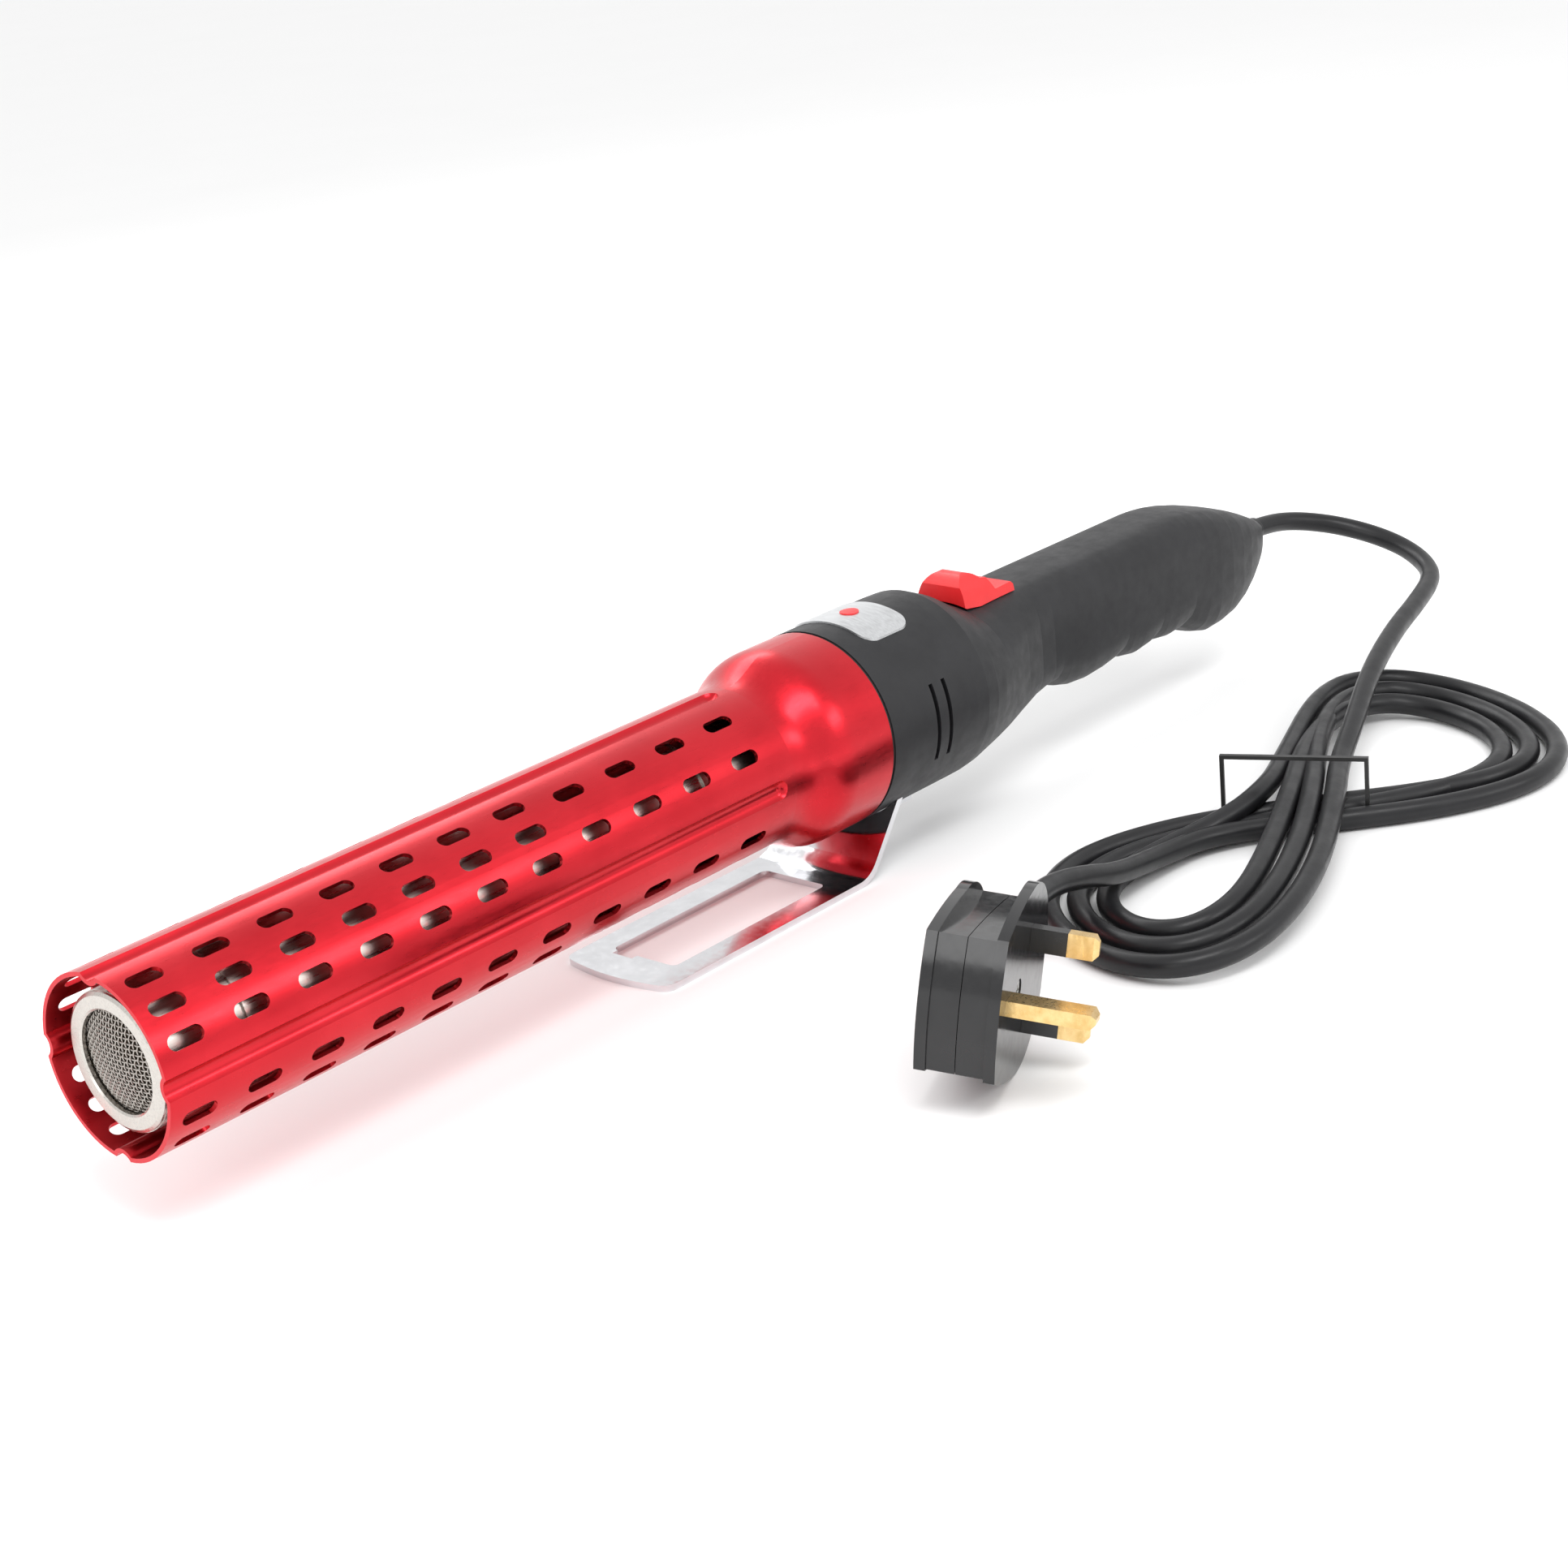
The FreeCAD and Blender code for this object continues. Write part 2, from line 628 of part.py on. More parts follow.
def badge_dot():
    """Small raised round dot in the middle of the badge."""
    inner = dim("housing_radius") + 0.65
    skin = tube_x(BADGE_START, BADGE_START + BADGE_LENGTH, inner, inner + 0.35)
    stamp = Part.makeCylinder(3, 50, Vector(BADGE_START + BADGE_LENGTH / 2, 0, 10), AXIS_Z)
    return one_solid(skin.common(stamp))


shaped("badge_dot", badge_dot())

# ---------------------------------------------------------------- stand
def stand_bracket():
    """Strip stand: a flat foot with a long opening, a sloping web and a tab under the housing."""
    sheet_thickness = dim("stand_sheet")
    floor = -dim("axis_height")
    half = dim("stand_half_width")
    slope = math.radians(dim("stand_angle"))
    corner = dim("stand_bend")
    middle = floor + sheet_thickness / 2
    bend = 11
    setback = bend * math.tan(slope / 2)
    along = Vector(math.cos(slope), 0, math.sin(slope))
    foot_start = Vector(dim("stand_front"), 0, middle)
    bend_start = Vector(corner - setback, 0, middle)
    bend_end = Vector(corner, 0, middle) + along * setback
    centre = bend_start + Vector(0, 0, bend)
    bend_middle = centre + Vector(math.sin(slope / 2), 0, -math.cos(slope / 2)) * bend
    web_end = Vector(corner, 0, middle) + along * 34
    line = Part.Wire([
        Part.LineSegment(foot_start, bend_start).toShape(),
        Part.Arc(bend_start, bend_middle, bend_end).toShape(),
        Part.LineSegment(bend_end, web_end).toShape(),
    ])
    solid = thick_strip(line, sheet_thickness, half)
    trim = Part.makeCylinder(dim("housing_radius") + 0.1, 80, Vector(240, 0, 0), AXIS_X)
    above = box_between((240, -40, -20), (320, 40, 60))
    solid = solid.cut([trim, above])
    nose = foot_outline(half)
    solid = solid.common(nose)
    tab_top = -dim("housing_radius") - 0.05
    tab = box_between((268.6, -7, tab_top - sheet_thickness), (297, 7, tab_top))
    solid = solid.fuse(tab)
    opening = box_between(
        (dim("opening_start"), -dim("opening_half_width"), floor - 1),
        (dim("opening_end"), dim("opening_half_width"), floor + 6),
    )
    upright = [edge for edge in opening.Edges if abs(edge.tangentAt(edge.FirstParameter).z) > 0.9]
    opening = opening.makeFillet(2.2, upright)
    notch = box_between(
        (dim("opening_start") - 2.2, 2.5, floor - 1), (dim("opening_start") + 1, 10.5, floor + 6)
    )
    screw_holes = [
        Part.makeCone(3.1, 1.6, 1.9, Vector(station, 0, tab_top - sheet_thickness - 0.01), AXIS_Z).fuse(
            Part.makeCylinder(1.6, 5, Vector(station, 0, tab_top - sheet_thickness - 1), AXIS_Z)
        )
        for station in STAND_SCREWS
    ]
    return one_solid(solid.cut([opening, notch] + screw_holes).removeSplitter())


STAND_SCREWS = (279, 291)


def thick_strip(line, thickness, half):
    """Gives a strip's centre line its thickness in the XZ plane and its width along Y."""
    outline = line.makeOffset2D(thickness / 2, join=0, fill=True, openResult=False)
    face = outline if outline.Faces else Part.Face(outline)
    solid = face.extrude(Vector(0, 2 * half, 0))
    solid.translate(Vector(0, -half, 0))
    return one_solid(solid)


def foot_outline(half):
    """Plan outline of the strip: a gently bowed front edge with rounded corners."""
    front = dim("stand_front")
    bow = 3
    corner = 4
    start = Vector(front + bow, -half, -60)
    end = Vector(front + bow, half, -60)
    back = 320
    edge = Part.Arc(start, Vector(front, 0, -60), end).toShape()
    lines = [
        edge,
        Part.LineSegment(end, Vector(back, half, -60)).toShape(),
        Part.LineSegment(Vector(back, half, -60), Vector(back, -half, -60)).toShape(),
        Part.LineSegment(Vector(back, -half, -60), start).toShape(),
    ]
    plan = Part.Face(Part.Wire(lines)).extrude(Vector(0, 0, 100))
    sharp = [
        e for e in plan.Edges
        if abs(e.tangentAt(e.FirstParameter).z) > 0.9 and e.CenterOfMass.x < front + bow + 1
    ]
    return plan.makeFillet(corner, sharp)


shaped("stand_bracket", stand_bracket())

stand_screws = [
    one_solid(
        countersunk(Vector(station, 0, -dim("housing_radius") - 0.05 - dim("stand_sheet")), AXIS_Z, 7, 1.5, 3, 1.7)
    )
    for station in STAND_SCREWS
]
shaped("stand_screws", Part.makeCompound(stand_screws))

# ---------------------------------------------------------------- fan and motor


def fan_shroud():
    """Ring round the fan, notched where the stand's screw bosses stand in its way."""
    start, end = dim("fan_start") - 2.8, dim("fan_start") + dim("fan_length")
    outer = dim("housing_radius") - dim("housing_wall") - 0.2
    shroud = tube_x(start, end, dim("fan_radius") + 0.8, outer)
    notch = box_between((start - 1, -4.5, -outer - 1), (end + 1, 4.5, 0))
    return one_solid(shroud.cut(notch))


shaped("fan_shroud", fan_shroud())


def fan_impeller():
    """Axial fan: a hub with pitched blades."""
    start, length = dim("fan_start"), dim("fan_length")
    hub_radius = 6.5
    chord = length - 1
    tip = dim("fan_radius")
    limit = tube_x(start, start + length, 0, tip)
    blade = Part.makeBox(chord, 1.3, tip - hub_radius + 3, Vector(-chord / 2, -0.65, hub_radius - 2))
    blade.rotate(ORIGIN, AXIS_Z, 38)
    blade.translate(Vector(start + length / 2, 0, 0))
    blade = blade.common(limit)
    count = int(dim("fan_blades"))
    blades = [turned_about_x(blade, 360 * index / count) for index in range(count)]
    fan = tube_x(start, start + length, 0, hub_radius).fuse(blades)
    bore = Part.makeCylinder(dim("shaft_radius") + 0.01, length + 2, Vector(start - 1, 0, 0), AXIS_X)
    return one_solid(fan.cut(bore))


shaped("fan_impeller", fan_impeller())

turned("motor_shaft", [
    ("dims.fan_start - 1.5", "0"),
    ("dims.motor_start + dims.motor_length + 5", "0"),
    ("dims.motor_start + dims.motor_length + 5", "dims.shaft_radius"),
    ("dims.fan_start - 1.5", "dims.shaft_radius"),
])

ARMATURE_START = "dims.motor_start + 6"
ring("motor_armature", ARMATURE_START, ARMATURE_START + " + 18", "dims.shaft_radius + 0.01", "dims.motor_radius - 3.6")

turned("motor_can", [
    ("dims.motor_start", "3.05"),
    ("dims.motor_start + 1.2", "3.05"),
    ("dims.motor_start + 1.2", "dims.motor_radius - 1"),
    ("dims.motor_start + dims.motor_length", "dims.motor_radius - 1"),
    ("dims.motor_start + dims.motor_length", "dims.motor_radius"),
    ("dims.motor_start", "dims.motor_radius"),
])

ring("motor_end_cap", "dims.motor_start + dims.motor_length - 3", "dims.motor_start + dims.motor_length + 1", "3.05",
     "dims.motor_radius - 1.05")


def motor_magnets():
    """Two arc magnets inside the can."""
    start = dim("motor_start") + 4
    outer = dim("motor_radius") - 1.05
    whole = tube_x(start, start + 22, outer - 1.8, outer)
    gap = box_between((start - 1, -3, -20), (start + 23, 3, 20))
    return Part.makeCompound(whole.cut(gap).Solids)


shaped("motor_magnets", motor_magnets())


def motor_bushes():
    """Front and rear bearing bushes with a running clearance on the shaft."""
    bore = dim("shaft_radius") + dim("shaft_clearance")
    front = tube_x(dim("motor_start") - 1, dim("motor_start") + 3, bore, 3)
    back = dim("motor_start") + dim("motor_length")
    rear = tube_x(back - 3.5, back + 1.5, bore, 3)
    return Part.makeCompound([front, rear])


shaped("motor_bushes", motor_bushes())


def motor_mount():
    """Spider that holds the motor: outer ring, four arms, a sleeve and a front plate."""
    start = dim("motor_start")
    plate_thickness = 2
    outer = dim("housing_radius") - dim("housing_wall") - 0.25
    rim = tube_x(start + 1, start + 9, outer - 2, outer)
    sleeve = tube_x(start - plate_thickness, start + 12, dim("motor_radius") + 0.05, dim("motor_radius") + 1.8)
    plate = tube_x(start - plate_thickness, start - 0.02, 3.3, dim("motor_radius") + 1.8)
    arm = box_between((start + 1, -1.5, dim("motor_radius") + 1), (start + 9, 1.5, outer - 1))
    arms = [turned_about_x(arm, 45 + 90 * quarter) for quarter in range(4)]
    mount = rim.fuse([sleeve, plate] + arms)
    holes = [
        Part.makeCylinder(1.35, 8, Vector(start - 4, 0, side * MOTOR_SCREW_CIRCLE), AXIS_X) for side in (-1, 1)
    ]
    return one_solid(mount.cut(holes).removeSplitter())


MOTOR_SCREW_CIRCLE = 8
shaped("motor_mount", motor_mount())

motor_screws = [
    one_solid(
        pan_screw(Vector(dim("motor_start") - 2.02, 0, side * MOTOR_SCREW_CIRCLE), AXIS_X, 1.9, 1.25, 2.3, 1.4)
    )
    for side in (-1, 1)
]
shaped("motor_screws", Part.makeCompound(motor_screws))

# ---------------------------------------------------------------- slide switch
def switch_slider():
    """Thumb slider: a domed hump in front, a low pad behind it and a stem through the housing."""
    start = dim("slider_start")
    end = start + dim("slider_length")
    half = dim("slider_half_width")
    seat = dim("handle_top") + 0.35
    front_low = Vector(start, 0, seat - 1)
    points = {
        "front_top": Vector(start + 0.8, 0, seat + 6.6),
        "crown": Vector(start + 5.5, 0, seat + 9.6),
        "crown_back": Vector(start + 11.5, 0, seat + 7),
        "notch_top": Vector(start + 14, 0, seat + 6.6),
        "notch_low": Vector(start + 16.4, 0, seat + 2.2),
        "pad_back": Vector(end - 1, 0, seat + 2.4),
    }
    edges = [
        Part.LineSegment(front_low, points["front_top"]),
        Part.Arc(points["front_top"], points["crown"], points["crown_back"]),
        Part.LineSegment(points["crown_back"], points["notch_top"]),
        Part.LineSegment(points["notch_top"], points["notch_low"]),
        Part.LineSegment(points["notch_low"], points["pad_back"]),
        Part.LineSegment(points["pad_back"], Vector(end, 0, seat + 1.4)),
        Part.LineSegment(Vector(end, 0, seat + 1.4), Vector(end, 0, seat - 1)),
        Part.LineSegment(Vector(end, 0, seat - 1), front_low),
    ]
    face = Part.Face(Part.Wire([edge.toShape() for edge in edges]))
    cap = face.extrude(Vector(0, 2 * half, 0))
    cap.translate(Vector(0, -half, 0))
    sides = Part.Face(section_wire(start - 5, half, seat + 10, -30, 3.2)).extrude(Vector(60, 0, 0))
    cap = cap.common(sides)
    cap = cap.cut(housing_clearance())
    stem = box_between((start + 9, -2.4, 13.2), (start + 16, 2.4, seat + 1))
    return one_solid(cap.fuse(stem).removeSplitter())


def housing_clearance():
    """The housing's outside grown a little and drawn out along the slider's travel."""
    stations = [s for s in SECTION_STATIONS if 310 <= s <= 385]
    wires = []
    for station in stations:
        half_width, top, bottom, square = handle_section(station - 1.2)
        wires.append(section_wire(station, half_width + 0.3, top + 0.3, bottom, square))
    return Part.makeLoft(wires, True, True)


shaped("switch_slider", switch_slider())

SWITCH_CASE_START = "dims.slider_start + 5"
switch_case = block("switch_case", SWITCH_CASE_START, "21", "12", "2", "9")
switch_well = block("switch_well", "dims.slider_start + 8", "15", "5", "7", "9")
keep(cut("switch_body", switch_case, switch_well), "switch_body")
keep(block("switch_toggle", "dims.slider_start + 9.5", "6", "4", "7.3", "5.8"), "switch_toggle")

# ---------------------------------------------------------------- electrics in the handle
keep(block("rectifier_board", "362", "26", "22", "-7", "1.6"), "rectifier_board")
diodes = [block(f"diode_{index}", str(364.5 + 5.6 * index), "3", "6", "-5.38", "2.6", "-6") for index in range(4)]
group("rectifier_diodes", diodes)
keep(rod("capacitor", "5", "14", "368", "5", "-0.3", AXIS_X), "smoothing_capacitor")
keep(block("terminal_block", "408", "18", "16", "-6", "9"), "terminal_block")

motor_leads = [
    rod(f"motor_lead_{index}", "0.9", "37.8", "dims.motor_start + dims.motor_length + 1.1", side, "-6.2", AXIS_X)
    for index, side in enumerate(("7", "-7"))
]
group("motor_leads", motor_leads)


def swept_route(points, radius):
    """A round tube along straight runs joined by arcs as large as the runs allow."""
    edges = []
    radii = []
    start = points[0]
    for index in range(1, len(points) - 1):
        corner = points[index]
        back = corner - points[index - 1]
        ahead = points[index + 1] - corner
        turn = back.getAngle(ahead)
        setback = 0.45 * min(back.Length, ahead.Length)
        radii.append(setback / math.tan(turn / 2))
        into = corner - back.normalize() * setback
        out = corner + ahead.normalize() * setback
        chord_middle = (into + out) * 0.5
        inward = (chord_middle - corner).normalize()
        centre_distance = radii[-1] / math.cos(turn / 2)
        middle = corner + inward * (centre_distance - radii[-1])
        edges.append(Part.LineSegment(start, into).toShape())
        edges.append(Part.Arc(into, middle, out).toShape())
        start = out
    edges.append(Part.LineSegment(start, points[-1]).toShape())
    path = Part.Wire(edges)
    tangent = edges[0].tangentAt(edges[0].FirstParameter)
    profile = Part.Wire(Part.Circle(points[0], tangent, radius).toShape())
    tube = path.makePipeShell([profile], True, False)
    expected = math.pi * radius ** 2 * path.Length
    shortest = min(radii) if radii else 0
    print(f"route {path.Length:6.1f} mm, volume ratio {tube.Volume / expected:.4f}, "
          f"radii {[round(r, 1) for r in radii]}, least {shortest:.1f}")
    return one_solid(tube)


def switch_wire(side):
    """One insulated wire from the terminal block to the slide switch."""
    route = [(407.9, -1), (399, -1), (390, 5.5), (372, 7), (353.4, 6.5)]
    return swept_route([Vector(station, side, height) for station, height in route], 1)


shaped("switch_wires", Part.makeCompound([switch_wire(-3), switch_wire(-7)]))

# ---------------------------------------------------------------- cord entry
CLAMP_START = 434
CLAMP_LENGTH = 8
clamp_bar = box_between((CLAMP_START, -10, 0.55), (CLAMP_START + CLAMP_LENGTH, 10, 2.75))
clamp_bar = clamp_bar.cut(
    [Part.makeCylinder(1.4, 6, Vector(CLAMP_START + 4, side * 7.5, -1), AXIS_Z) for side in (-1, 1)]
)
shaped("cord_clamp", one_solid(clamp_bar))
clamp_screws = [
    one_solid(pan_screw(Vector(CLAMP_START + 4, side * 7.5, 2.8), Vector(0, 0, -1), 9, 1.2, 2.2, 1.4))
    for side in (-1, 1)
]
clamp_block = box_between((CLAMP_START, -10, -12), (CLAMP_START + CLAMP_LENGTH, 10, -3))
clamp_block = clamp_block.cut(
    [Part.makeCylinder(3.55, 20, Vector(CLAMP_START - 5, 0, dim("cord_height")), AXIS_X)]
    + [Part.makeCylinder(1.22, 12, Vector(CLAMP_START + 4, side * 7.5, -9), AXIS_Z) for side in (-1, 1)]
)
shaped("cord_clamp_block", one_solid(clamp_block))
shaped("clamp_screws", Part.makeCompound(clamp_screws))

CORD_RADIUS = "dims.cord_diameter / 2"


def strain_relief():
    """Tapered rubber sleeve with a retaining flange inside the shells and a collar outside."""
    end = dim("tool_length")
    bore = dim("cord_diameter") / 2 + 0.02
    axis_point = Vector(0, 0, dim("cord_height"))
    profile = [
        (end - 14, bore), (end + 10, bore), (end + 10, bore + 0.7), (end + 4.6, bore + 1.3), (end + 3.6, bore + 1.9),
        (end + 1.6, bore + 1.9), (end + 1.6, bore + 0.95), (end - 5.2, bore + 0.95), (end - 5.2, bore + 3),
        (end - 8, bore + 3), (end - 8, bore + 0.9), (end - 14, bore + 0.9),
    ]
    corners = [Vector(station, 0, radius) for station, radius in profile]
    face = Part.Face(Part.makePolygon(corners + [corners[0]]))
    sleeve = face.revolve(ORIGIN, AXIS_X, 360)
    sleeve.translate(axis_point)
    return sleeve


shaped("strain_relief", strain_relief())
keep(rod("cord_inner", CORD_RADIUS, "80.5", "427", "0", "dims.cord_height", AXIS_X), "cord_inner")

# ---------------------------------------------------------------- mains lead on the floor
# Route of the lead from the strain relief to the coil: (station, y, height above the floor).
LEAD_ROUTE = [
    (507.5, 0, 42), (518.5, -0.5, 41.5), (530, -5, 39.5), (539.5, -13.5, 36.5), (545, -25.5, 33),
    (545.5, -38.5, 29.5), (540, -50.5, 26.5), (530, -59.5, 24.5), (508, -66.5, 23.5), (475, -75, 22.5),
    (441, -86, 19.5), (410, -98.5, 14.5), (385, -108, 10.5),
]
# Route of the plug's end of the cord, from the coil towards the plug.
TAIL_ROUTE = [(280, -98, 10.5), (264, -97.5, 16), (247, -98.5, 20), (230, -104, 21.8)]
FLOOR = -dim("axis_height")


def floor_points(route):
    """Barrel-frame points from (station, y, height above the floor)."""
    return [Vector(station, side, FLOOR + height) for station, side, height in route]


shaped("cord_lead", swept_route(floor_points(LEAD_ROUTE), dim("cord_diameter") / 2))

# Plan outline of the tied figure of eight: (station, y), and of its two holes.
COIL_OUTLINE = [
    (379.5, -84), (421.5, -67), (456.5, -58), (478.5, -68), (484.5, -97), (473.5, -126), (446.5, -152),
    (406.5, -169), (373.5, -166), (353.5, -148), (333.5, -140), (301.5, -158), (261.5, -165), (238.5, -150),
    (236.5, -122), (249.5, -90), (271.5, -74), (303.5, -69), (333.5, -80), (359.5, -93),
]
RIGHT_HOLE = [(388, -112), (421, -94), (443.5, -86), (453.5, -104), (439.5, -132), (421.5, -140), (401.5, -134)]
LEFT_HOLE = [(259.5, -112), (271.5, -102), (293.5, -103), (321.5, -121), (301.5, -130), (279.5, -132), (264.5, -124)]
STRAND_LAYERS = 2
CROSSING = (361, -107)
CROSSING_RADIUS = 19


def closed_outline(points):
    """A smooth closed face through plan points, on the floor."""
    curve = Part.BSplineCurve()
    curve.interpolate(Points=[Vector(station, side, FLOOR) for station, side in points], PeriodicFlag=True)
    return Part.Face(Part.Wire(curve.toShape()))


def cord_coil():
    """The tied bundle as one solid: a figure of eight two strands high, three at its crossing."""
    diameter = dim("cord_diameter")
    height = STRAND_LAYERS * diameter
    band = closed_outline(COIL_OUTLINE).extrude(Vector(0, 0, height))
    holes = [closed_outline(hole).extrude(Vector(0, 0, height)) for hole in (RIGHT_HOLE, LEFT_HOLE)]
    crossing = Part.makeCylinder(CROSSING_RADIUS, height + diameter, Vector(*CROSSING, FLOOR))
    return one_solid(band.cut(holes).fuse(crossing))


shaped("cord_coil", cord_coil())


def cable_tie():
    """Thin wire tie over the crossing, square to the upper strands."""
    height = 3 * dim("cord_diameter")
    half = CROSSING_RADIUS + 2.5
    wire = 1.2
    outside = box_between((-0.9, -half - wire, 0), (0.9, half + wire, height + wire))
    inside = box_between((-1, -half, -1), (1, half, height + 0.02))
    staple = outside.cut(inside)
    staple.Placement = Placement(Vector(*CROSSING, FLOOR), Rotation(AXIS_Z, 24))
    return one_solid(staple)


shaped("cable_tie", cable_tie())
# ---------------------------------------------------------------- three-pin plug
# Plug frame: x from the earth end to the cord end, y across the line and neutral pins,
# z out of the pin face. The plug leans on one shoulder of its flanges, pins a little down.
PLUG_ORIGIN = Vector(158.8, -149.6, -15.9)
PLUG_YAW = 25
PLUG_PITCH = 8
PLUG_ROLL = 8
PIN_ROW = 22.2
EARTH_STATION = 8
SPLIT = -dim("plug_depth") / 2
BACK = -dim("plug_depth")
FLANGE = 3


def plug_place():
    """Placement of the plug frame in the barrel frame."""
    lean = Rotation(AXIS_Z, PLUG_YAW).multiply(Rotation(AXIS_Y, PLUG_PITCH)).multiply(Rotation(AXIS_X, PLUG_ROLL))
    return Placement(PLUG_ORIGIN, lean.multiply(Rotation(AXIS_X, AXIS_Z, Vector(0, -1, 0), "XYZ")))


def plug_outline(corners, bow, low, high):
    """A slab between two depths, from half an outline: arc ends and arc middles in turn.

    The earth end bows outwards by the given amount.
    """
    upper = [Vector(x, y, low) for x, y in corners]
    lower = [Vector(point.x, -point.y, low) for point in reversed(upper)]
    edges = []
    for half in (upper, lower):
        for index in range(0, len(half) - 2, 2):
            edges.append(Part.Arc(*half[index:index + 3]).toShape())
    edges.append(Part.LineSegment(upper[-1], lower[0]).toShape())
    edges.append(Part.Arc(lower[-1], Vector(-bow, 0, low), upper[0]).toShape())
    wire = Part.Wire(Part.__sortEdges__(edges))
    return Part.Face(wire).extrude(Vector(0, 0, high - low))


LENGTH = dim("plug_length")
NEAR_HALF = dim("plug_near_half")
WIDE_HALF = dim("plug_wide_half")
BASE_OUTLINE = [(0, NEAR_HALF), (13, WIDE_HALF - 2), (26, WIDE_HALF), (42, WIDE_HALF - 3.5), (LENGTH, 9)]
CORE_OUTLINE = [(0.6, NEAR_HALF - 0.6), (24, NEAR_HALF - 1.4), (LENGTH - 1, NEAR_HALF - 3.6)]
COVER_OUTLINE = [(0, NEAR_HALF - 0.3), (15, NEAR_HALF + 1.6), (30, NEAR_HALF + 2.2), (42, NEAR_HALF + 1),
                 (LENGTH, NEAR_HALF - 4)]
CAVITY = box_between((5, -13, BACK + 3.5), (LENGTH - 4, 13, -4))
PLUG_CORD_HOLE = Part.makeCylinder(dim("cord_diameter") / 2 + 0.02, 20, Vector(LENGTH - 12, 0, SPLIT), AXIS_X)
PIN_CHAMFER = 1.3


def pin_blade(centre, width, thickness, low, high):
    """A pin along z with a chamfered tip: width is its size along x, thickness across y."""
    blade = box_between((centre[0] - width / 2, centre[1] - thickness / 2, low),
                        (centre[0] + width / 2, centre[1] + thickness / 2, high))
    tip = [edge for edge in blade.Edges if abs(edge.CenterOfMass.z - high) < 0.01]
    return blade.makeChamfer(PIN_CHAMFER, tip)


EARTH_CENTRE = (EARTH_STATION, 0)
LINE_CENTRE = (EARTH_STATION + PIN_ROW, PIN_ROW / 2)
NEUTRAL_CENTRE = (EARTH_STATION + PIN_ROW, -PIN_ROW / 2)
PIN_INSIDE = -7


def sleeved_pin(centre):
    """Line or neutral pin: full size at its tip, slimmer where the sleeve covers it."""
    tip = pin_blade(centre, 3.97, 6.35, 9.6, 17.7)
    shank = box_between((centre[0] - 1.3, centre[1] - 2.4, PIN_INSIDE), (centre[0] + 1.3, centre[1] + 2.4, 10))
    return one_solid(tip.fuse(shank).removeSplitter())


def pin_sleeve(centre):
    """Insulating sleeve on a line or neutral pin."""
    outside = box_between((centre[0] - 1.98, centre[1] - 3.17, 0.02), (centre[0] + 1.98, centre[1] + 3.17, 9.58))
    inside = box_between((centre[0] - 1.32, centre[1] - 2.42, -1), (centre[0] + 1.32, centre[1] + 2.42, 10))
    return outside.cut(inside)


def pin_openings():
    """Slots in the pin face for the three pins, with a hair of clearance."""
    earth = box_between((EARTH_STATION - 3.98, -2.01, PIN_INSIDE - 0.1), (EARTH_STATION + 3.98, 2.01, 1))
    others = [
        box_between((centre[0] - 1.32, centre[1] - 2.42, PIN_INSIDE - 0.1), (centre[0] + 1.32, centre[1] + 2.42, 1))
        for centre in (LINE_CENTRE, NEUTRAL_CENTRE)
    ]
    return [earth] + others


SCREW_STATION = EARTH_STATION + PIN_ROW * 0.5
SCREW_HOLE = Part.makeCylinder(1.75, 40, Vector(SCREW_STATION, 0, BACK + 2.5), AXIS_Z)
SCREW_SEAT = Part.makeCylinder(3.2, 5, Vector(SCREW_STATION, 0, -2.2), AXIS_Z)
POST = Part.makeCylinder(3, dim("plug_depth") - 4, Vector(SCREW_STATION, 0, BACK + 2), AXIS_Z)
FUSE_SIDE = 9.2
FUSE_DEPTH = -13.2


def plug_base():
    """Pin side of the plug: a wide flange and half of the core."""
    body = plug_outline(BASE_OUTLINE, 3, -FLANGE, 0).fuse(plug_outline(CORE_OUTLINE, 2.2, SPLIT + 0.2, -FLANGE))
    body = body.cut([CAVITY, PLUG_CORD_HOLE])
    body = body.fuse(POST.common(box_between((0, -10, SPLIT + 0.2), (60, 10, 0))))
    return one_solid(body.cut(pin_openings() + [SCREW_HOLE, SCREW_SEAT]))


def plug_cover():
    """Back of the plug: the other half of the core and a narrower flange."""
    body = plug_outline(COVER_OUTLINE, 3, BACK, BACK + FLANGE)
    body = body.fuse(plug_outline(CORE_OUTLINE, 2.2, BACK + FLANGE, SPLIT))
    body = body.cut([CAVITY, PLUG_CORD_HOLE])
    body = body.fuse(POST.common(box_between((0, -10, BACK), (60, 10, SPLIT))))
    return one_solid(body.cut(SCREW_HOLE))


PLUG_LOCAL = plug_place()
PLUG = barrel_place().multiply(PLUG_LOCAL)
shaped("plug_base", plug_base(), PLUG)
shaped("plug_cover", plug_cover(), PLUG)
cord_exit = PLUG_LOCAL.multVec(Vector(LENGTH - 0.5, 0, SPLIT))
exit_ahead = PLUG_LOCAL.multVec(Vector(LENGTH + 14, 0, SPLIT))
tail_points = floor_points(TAIL_ROUTE) + [exit_ahead, cord_exit]
shaped("cord_tail", swept_route(tail_points, dim("cord_diameter") / 2))
earth_pin = pin_blade(EARTH_CENTRE, 7.92, 3.97, PIN_INSIDE, 22.7)
shaped("plug_earth_pin", one_solid(earth_pin), PLUG)
shaped("plug_line_pin", sleeved_pin(LINE_CENTRE), PLUG)
shaped("plug_neutral_pin", sleeved_pin(NEUTRAL_CENTRE), PLUG)
shaped("plug_pin_sleeves", Part.makeCompound([pin_sleeve(LINE_CENTRE), pin_sleeve(NEUTRAL_CENTRE)]), PLUG)
plug_screw = pan_screw(Vector(SCREW_STATION, 0, -2.2), Vector(0, 0, -1), 16, 1.7, 2.9, 1.8)
shaped("plug_screw", one_solid(plug_screw), PLUG)
